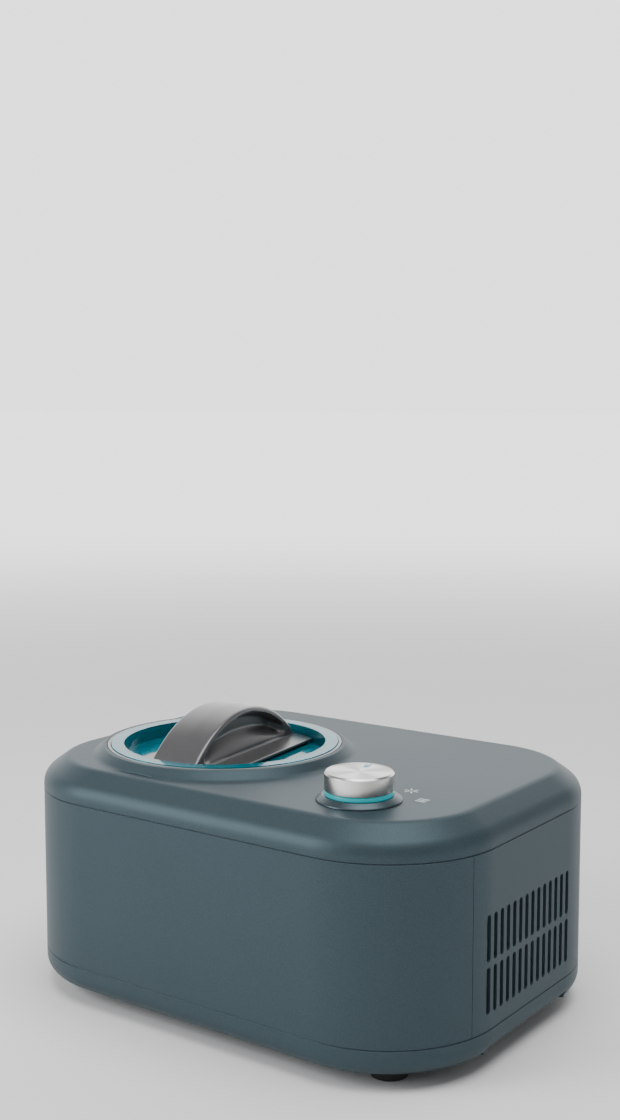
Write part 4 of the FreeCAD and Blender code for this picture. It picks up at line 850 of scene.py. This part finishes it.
@dataclass
class Knob:
    """Control knob: dark base ring, light guide, spun cap with a polished chamfer."""

    finishes: dict[str, bpy.types.Material]
    centre: tuple[float, float] = (KNOB[0], KNOB[1])
    radius: float = 24.1 * MM
    deck: float = 177.5 * MM
    cap_low: float = 184.6 * MM
    cap_top: float = 197.4 * MM
    flare: float = 6 * MM
    ring_height: float = 3.9 * MM
    light_height: float = 2.7 * MM

    def cap(self) -> bpy.types.Object:
        """Turned cap: rolled lower edge, drum, bright chamfer and a dished face.

        Returns:
            The cap.
        """
        r, low, top = self.radius, self.cap_low, self.cap_top
        profile = filleted([
            (r - 4 * MM, low + 1.2 * MM, 0), (r - 1.2 * MM, low, 0.5 * MM), (r, low, 0.5 * MM),
            (r, top - 1.3 * MM, 0.25 * MM), (r - 1.3 * MM, top, 0.25 * MM),
            (r - 1.9 * MM, top, 0.15 * MM), (r - 2.3 * MM, top - 0.3 * MM, 0.2 * MM),
            (0.004 * MM, top - 0.55 * MM, 0)], 5)
        profile[-1, 0] = 0
        piece = skin("spun_cap", [lathe(profile, self.centre, 192)], "knob", "knob_metal",
                     self.finishes["knob_metal"], sharp=30)
        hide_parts("knob_cap")
        return piece

    def ring(self) -> bpy.types.Object:
        """Dark base ring whose flank is a soft cone.

        Returns:
            The ring.
        """
        r, low = self.radius, self.deck
        foot, bore, top = r + self.flare, r - 6 * MM, low + self.ring_height
        profile = filleted([
            (bore, low, 0), (foot, low, 0.3 * MM), (foot - 0.2 * MM, low + 1 * MM, 1.6 * MM),
            (r + 1.6 * MM, top, 0.8 * MM), (bore, top, 0)], 6)
        piece = skin("base_ring_turned", [lathe(profile, self.centre)], "housing", "dark_trim",
                     self.finishes["dark_trim"])
        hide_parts("knob_base_ring")
        return piece

    def light(self) -> bpy.types.Object:
        """Glowing ring between the base ring and the cap.

        Returns:
            The light guide.
        """
        rim, bore, low = self.radius - 0.1 * MM, self.radius - 5 * MM, self.deck + 4 * MM
        top = low + self.light_height
        profile = filleted([
            (bore, low, 0), (rim, low, 0.3 * MM), (rim, top, 0.6 * MM), (bore, top, 0)], 5)
        piece = skin("light_guide", [lathe(profile, self.centre)], "housing", "glow",
                     self.finishes["glow"])
        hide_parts("light_ring")
        return piece


@dataclass
class Grip:
    """The lid's grey insert: a flat plate with an arch that fingers close round."""

    finish: bpy.types.Material
    centre: tuple[float, float] = (WELL[0], WELL[1])
    turn: float = 7.0
    radius: float = 100 * MM
    hub: float = 112.1 * MM
    half_length: float = 74 * MM
    half_width: float = 20 * MM
    rim: float = 5 * MM
    hollow: float = 10.5 * MM
    plate_low: float = 175.6 * MM
    plate_top: float = 177.6 * MM
    plate_radius: float = 78 * MM
    plate_half: float = 41.5 * MM
    sunk: float = 0.2 * MM

    def arch(self) -> np.ndarray:
        """Arch as a grid over its length y and a path v over its section.

        The top follows z = hub + sqrt(radius^2 - y^2). Below a rim of constant depth each side
        sinks in by hollow e(y) g(v): e fades out towards the ends, and g rises fast under the
        rim and falls back to the plate.

        Returns:
            Grid of local points.
        """
        y = np.linspace(-self.half_length, self.half_length, 141)[:, None]
        top = self.hub + np.sqrt(self.radius ** 2 - y ** 2)
        floor = self.plate_top + 1.2 * MM
        under = self.hub + np.sqrt(np.maximum((self.radius - self.rim) ** 2 - y ** 2, 0))
        under = np.maximum(under, floor + 0.6 * MM)
        corner = filleted([(0, 0, 0), (self.half_width, -0.5 * MM, 2.4 * MM),
                           (self.half_width, -0.62 * self.rim, 0)], 8)
        crown = np.concatenate([np.linspace(corner[0], corner[1], 8)[:-1], corner[1:]])
        crown_x, crown_z = crown[:, 0][None, :], crown[:, 1][None, :]
        v = np.linspace(0, 1, 30)[None, :]
        reach = 1 - eased(np.abs(y), self.half_length - 25 * MM, self.half_length - 13 * MM)
        sink = eased(v, 0.0, 0.22) * (1 - 0.85 * eased(v, 0.5, 1.0))
        side_x = self.half_width - self.hollow * reach * sink
        rim_low = np.minimum(top + crown_z[0, -1], under + 0.8 * MM)
        side_z = rim_low + (floor - rim_low) * v ** 1.15
        foot_x = np.broadcast_to(self.half_width + 0.6 * MM, y.shape)
        half_x = np.concatenate([np.broadcast_to(crown_x, (len(y), crown_x.shape[1])), side_x,
                                 foot_x], 1)
        half_z = np.concatenate([np.maximum(top + crown_z, floor), side_z,
                                 np.full(y.shape, self.plate_top - self.sunk)], 1)
        x = np.concatenate([half_x[:, ::-1], -half_x[:, 1:]], 1)
        z = np.concatenate([half_z[:, ::-1], half_z[:, 1:]], 1)
        grid = np.stack([x, np.broadcast_to(y, x.shape), z], -1)
        level = np.array([0, 0, self.plate_top - self.sunk])
        ends = [grid[k:k + 1] * np.array([1, 1, 0]) + level for k in (0, len(y) - 1)]
        return np.concatenate([ends[0], grid, ends[1]])

    def plate(self) -> np.ndarray:
        """Plate whose outline is a disc with two flat sides, with a rounded upper edge.

        The outline's radius at the angle a is the smaller of plate_radius and
        plate_half / |cos a|.

        Returns:
            Grid of local points.
        """
        angle = np.linspace(0, 2 * np.pi, 360, endpoint=False)
        flat = self.plate_half / np.maximum(np.abs(np.cos(angle)), 1e-6)
        reach = np.minimum(self.plate_radius, flat)
        line = reach[:, None] * np.stack([np.cos(angle), np.sin(angle)], -1)
        ahead = np.roll(line, -3, axis=0) - np.roll(line, 3, axis=0)
        normal = np.stack([ahead[:, 1], -ahead[:, 0]], -1)
        normal /= np.linalg.norm(normal, axis=1)[:, None]
        edge = filleted([(8 * MM, self.plate_low, 0), (0, self.plate_low, 0.4 * MM),
                         (0, self.plate_top, 0.8 * MM), (2 * MM, self.plate_top, 0)], 4)
        rings = moulded_rings(line, normal, edge)
        pole = np.array([0.0, 0.0, 1.0]) * rings[-1:, :1, 2:]
        return np.concatenate([rings, np.broadcast_to(pole, rings[:1].shape)])

    def build(self) -> bpy.types.Object:
        """Plate and arch as one moulding.

        Returns:
            The insert.
        """
        arch = swung(self.arch(), self.turn, self.centre)
        plate = swung(self.plate(), self.turn, self.centre)
        piece = skin("grip_moulding", [arch, plate], "lid", "arch_grey", self.finish, 50)
        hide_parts("arch_insert")
        return piece


@dataclass
class Paddle:
    """White paddle: socketed shaft, window frame, cross bars and two twisted blades."""

    finish: bpy.types.Material
    centre: tuple[float, float] = (WELL[0], WELL[1])
    turn: float = 93.5
    low: float = 26.5 * MM
    frame_top: float = 132.5 * MM
    head_top: float = 163.5 * MM
    half: float = 60 * MM
    pin_bore: float = 4.3 * MM
    hub: float = 10.5 * MM
    hub_height: float = 18 * MM
    core: float = 4.6 * MM
    tube: float = 8 * MM
    flange: float = 10.7 * MM
    socket: float = 6.4 * MM
    socket_depth: float = 14 * MM
    bar_thick: float = 5 * MM
    blade_thick: float = 2.6 * MM

    def shaft(self) -> np.ndarray:
        """Turned hub, shaft, taper, tube and flanged head; the socket is sunk in the head.

        Returns:
            Grid of local points.
        """
        low, head, top = self.low, self.head_top, self.frame_top
        floor = head - self.socket_depth
        profile = filleted([
            (self.pin_bore, low + 7 * MM, 0), (self.pin_bore, low, 0), (self.hub, low, 1.2 * MM),
            (self.hub, low + self.hub_height, 2.5 * MM),
            (self.core, low + self.hub_height + 3 * MM, 3 * MM),
            (self.core, top - 6 * MM, 6 * MM), (self.tube - 0.4 * MM, top + 5 * MM, 6 * MM),
            (self.tube, head - 4 * MM, 0.6 * MM), (self.flange, head - 3.4 * MM, 0.8 * MM),
            (self.flange, head, 0.9 * MM), (self.socket, head, 0.6 * MM),
            (self.socket - 0.2 * MM, floor, 0), (0.004 * MM, floor, 0)], 6)
        profile[-1, 0] = 0
        return lathe(profile, (0.0, 0.0), 72)

    def bars(self) -> list[np.ndarray]:
        """Frame loop, two cross bars and the blades, each a swept bar.

        The frame's half width eases from 2.5 mm in the top bar to 4.2 mm in the side bars.

        Returns:
            Grids in local points.
        """
        half, low, top = self.half - 4.2 * MM, self.low + 4 * MM, self.frame_top - 2.6 * MM
        ring = filleted([(0, top, 0), (half, top, 5 * MM), (half, low, 14 * MM),
                         (-half, low, 14 * MM), (-half, top, 5 * MM), (0, top, 0)], 10)
        ring = evenly(ring, 241)[:-1]
        wide = (2.5 + 1.7 * eased(np.abs(ring[:, 0]), half - 6 * MM, half - 1 * MM)
                + 0.8 * eased(-ring[:, 1], -low - 6 * MM, -low)) * MM
        middle = self.low + 53 * MM
        grids = [flat_bar(ring, wide, self.bar_thick / 2, loop=True)]
        for side in (1, -1):
            line = np.stack([np.linspace(2, 56, 24) * side, np.full(24, middle / MM)], -1) * MM
            grids.append(flat_bar(line, np.full(24, 2.7 * MM), 2.3 * MM))
        for height, drop, span, lean in ((middle + 5 * MM, 14, 13.0, 0.95),
                                         (self.low + 13 * MM, 6, 11.0, 1.0)):
            share = np.linspace(0, 1, 40)
            line = np.stack([-(3 + 52 * share) * MM, height - drop * share * MM], -1)
            width = span * (0.72 + 0.28 * eased(share, 0.0, 0.3)) * MM
            grids.append(flat_bar(line, width, self.blade_thick / 2, lean - 0.25 * share))
        return grids

    def build(self) -> bpy.types.Object:
        """One white moulding.

        Returns:
            The paddle.
        """
        grids = [swung(g, self.turn, self.centre) for g in (self.shaft(), *self.bars())]
        piece = skin("paddle_moulding", grids, "paddle", "paddle_white", self.finish, 45, True)
        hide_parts("paddle")
        return piece


@dataclass(frozen=True)
class Softbox:
    """Rectangular studio lamp: where it hangs, its width and height, and its power in watts."""

    name: str
    spot: Point
    size: tuple[float, float]
    power: float


SOFTBOXES = (
    Softbox("overhead", (0.5, -0.2, 2.6), (2.2, 1.8), 62.0),
    Softbox("front_left", (-1.5, -1.9, 1.2), (1.2, 1.8), 56.0),
    Softbox("right_fill", (2.4, 0.4, 1.0), (0.8, 1.4), 3.0),
)


@dataclass
class Stage:
    """Pale floor, soft studio light and the camera."""

    azimuth: float = 35.96
    elevation: float = 6.12
    spot: Point = (0.6483, -0.8920, 0.4470)
    lens: float = 47.18
    aim: Point = (0.0, 0.0, 0.12)
    backdrop: float = 2.2
    ambient: float = 0.24
    floor_half: float = 60.0

    def floor(self) -> None:
        """Pale floor that fades into the backdrop's own brightness far from the object."""
        g = Graph("pale_floor")
        spot = g.place()
        cloud = g.noise(spot, 1.5, 2.0)
        reach = g.distance(spot)
        away = g.add("ShaderNodeMapRange", {"interpolation_type": "SMOOTHSTEP"},
                     {"Value": reach, "From Min": 0.7, "From Max": 4.0})
        black, white = (0.0, 0.0, 0.0), (1.0, 1.0, 1.0)
        pale = g.blend(cloud, (0.86, 0.86, 0.86), (0.90, 0.90, 0.90))
        finish = g.surface(Base_Color=g.blend(away, pale, black), Roughness=0.8,
                           Specular_IOR_Level=0.1, Emission_Strength=self.backdrop,
                           Emission_Color=g.blend(away, black, white))
        line = np.linspace(-self.floor_half, self.floor_half, 3)
        grid = np.stack([*np.meshgrid(line, line, indexing="ij"), np.zeros((3, 3))], -1)
        mesh = bpy.data.meshes.new("floor")
        index = np.arange(9).reshape(3, 3)
        quads = np.stack([index[:-1, :-1], index[1:, :-1], index[1:, 1:], index[:-1, 1:]], -1)
        mesh.from_pydata(grid.reshape(-1, 3).tolist(), [], quads.reshape(-1, 4).tolist())
        mesh.materials.append(finish)
        floor = bpy.data.objects.new("floor", mesh)
        bpy.context.scene.collection.objects.link(floor)

    def lamp(self, box: Softbox) -> None:
        """Hangs one softbox so that it faces the object.

        Args:
            box: The softbox.
        """
        data = bpy.data.lights.new(box.name, "AREA")
        data.shape = "RECTANGLE"
        data.size, data.size_y = box.size
        data.energy = box.power
        lamp = bpy.data.objects.new(box.name, data)
        lamp.location = box.spot
        ahead = Vector(self.aim) - Vector(box.spot)
        lamp.rotation_euler = ahead.to_track_quat("-Z", "Y").to_euler()
        bpy.context.scene.collection.objects.link(lamp)

    def light(self) -> None:
        """Hangs the softboxes and makes a pale world that is bright behind the object.

        The world's strength rises smoothly from ambient to backdrop with the share of a
        direction that points away from the camera.
        """
        for box in SOFTBOXES:
            self.lamp(box)
        world = bpy.data.worlds.new("studio")
        world.use_nodes = True
        tree = world.node_tree
        a = math.radians(self.azimuth)
        aim = tree.nodes.new("ShaderNodeTexCoord")
        ahead = tree.nodes.new("ShaderNodeVectorMath")
        ahead.operation = "DOT_PRODUCT"
        ahead.inputs[1].default_value = (-math.sin(a), math.cos(a), 0.0)
        tree.links.new(aim.outputs["Generated"], ahead.inputs[0])
        level = tree.nodes.new("ShaderNodeMapRange")
        level.interpolation_type = "SMOOTHSTEP"
        tree.links.new(ahead.outputs["Value"], level.inputs["Value"])
        for socket, value in (("From Min", 0.45), ("From Max", 0.85),
                              ("To Min", self.ambient), ("To Max", self.backdrop)):
            level.inputs[socket].default_value = value
        back = tree.nodes["Background"]
        back.inputs["Color"].default_value = (1.0, 1.0, 1.0, 1.0)
        tree.links.new(level.outputs["Result"], back.inputs["Strength"])
        bpy.context.scene.world = world

    def camera(self) -> None:
        """Camera at the viewing angle: azimuth round the object and elevation above it."""
        a, e = math.radians(self.azimuth), math.radians(self.elevation)
        back = Vector((math.sin(a) * math.cos(e), -math.cos(a) * math.cos(e), math.sin(e)))
        right = Vector((math.cos(a), math.sin(a), 0.0))
        up = back.cross(right)
        data = bpy.data.cameras.new("camera")
        data.sensor_width = 36.0
        data.lens = self.lens
        data.clip_start, data.clip_end = 0.01, 200.0
        camera = bpy.data.objects.new("camera", data)
        camera.matrix_world = Matrix((right, up, back)).transposed().to_4x4()
        camera.location = self.spot
        bpy.context.scene.collection.objects.link(camera)
        bpy.context.scene.camera = camera


def dress_frame(finishes: dict[str, bpy.types.Material]) -> None:
    """Gives every CAD node the finish of its slot.

    Args:
        finishes: The materials by slot name.
    """
    slots = {part["node"]: part["material_slot"] for part in frame["record"]["subparts"]}
    for node, piece in frame["nodes"].items():
        for holder in piece.material_slots:
            holder.material = finishes[slots[node]]


def main() -> None:
    """Builds and dresses every sub-assembly, then the studio."""
    logging.basicConfig(level=logging.INFO, format="%(name)s: %(message)s")
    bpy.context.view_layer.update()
    finishes = make_finishes()
    dress_frame(finishes)
    cover = TopCover(finishes["body_paint"])
    knob = Knob(finishes)
    grip = Grip(finishes["arch_grey"])
    paddle = Paddle(finishes["paddle_white"])
    for make in (cover.build, knob.cap, knob.ring, knob.light, grip.build, paddle.build):
        LOG.info("made %s", make().name)
    stage = Stage()
    stage.floor()
    stage.light()
    stage.camera()


if __name__ == "__main__":
    main()
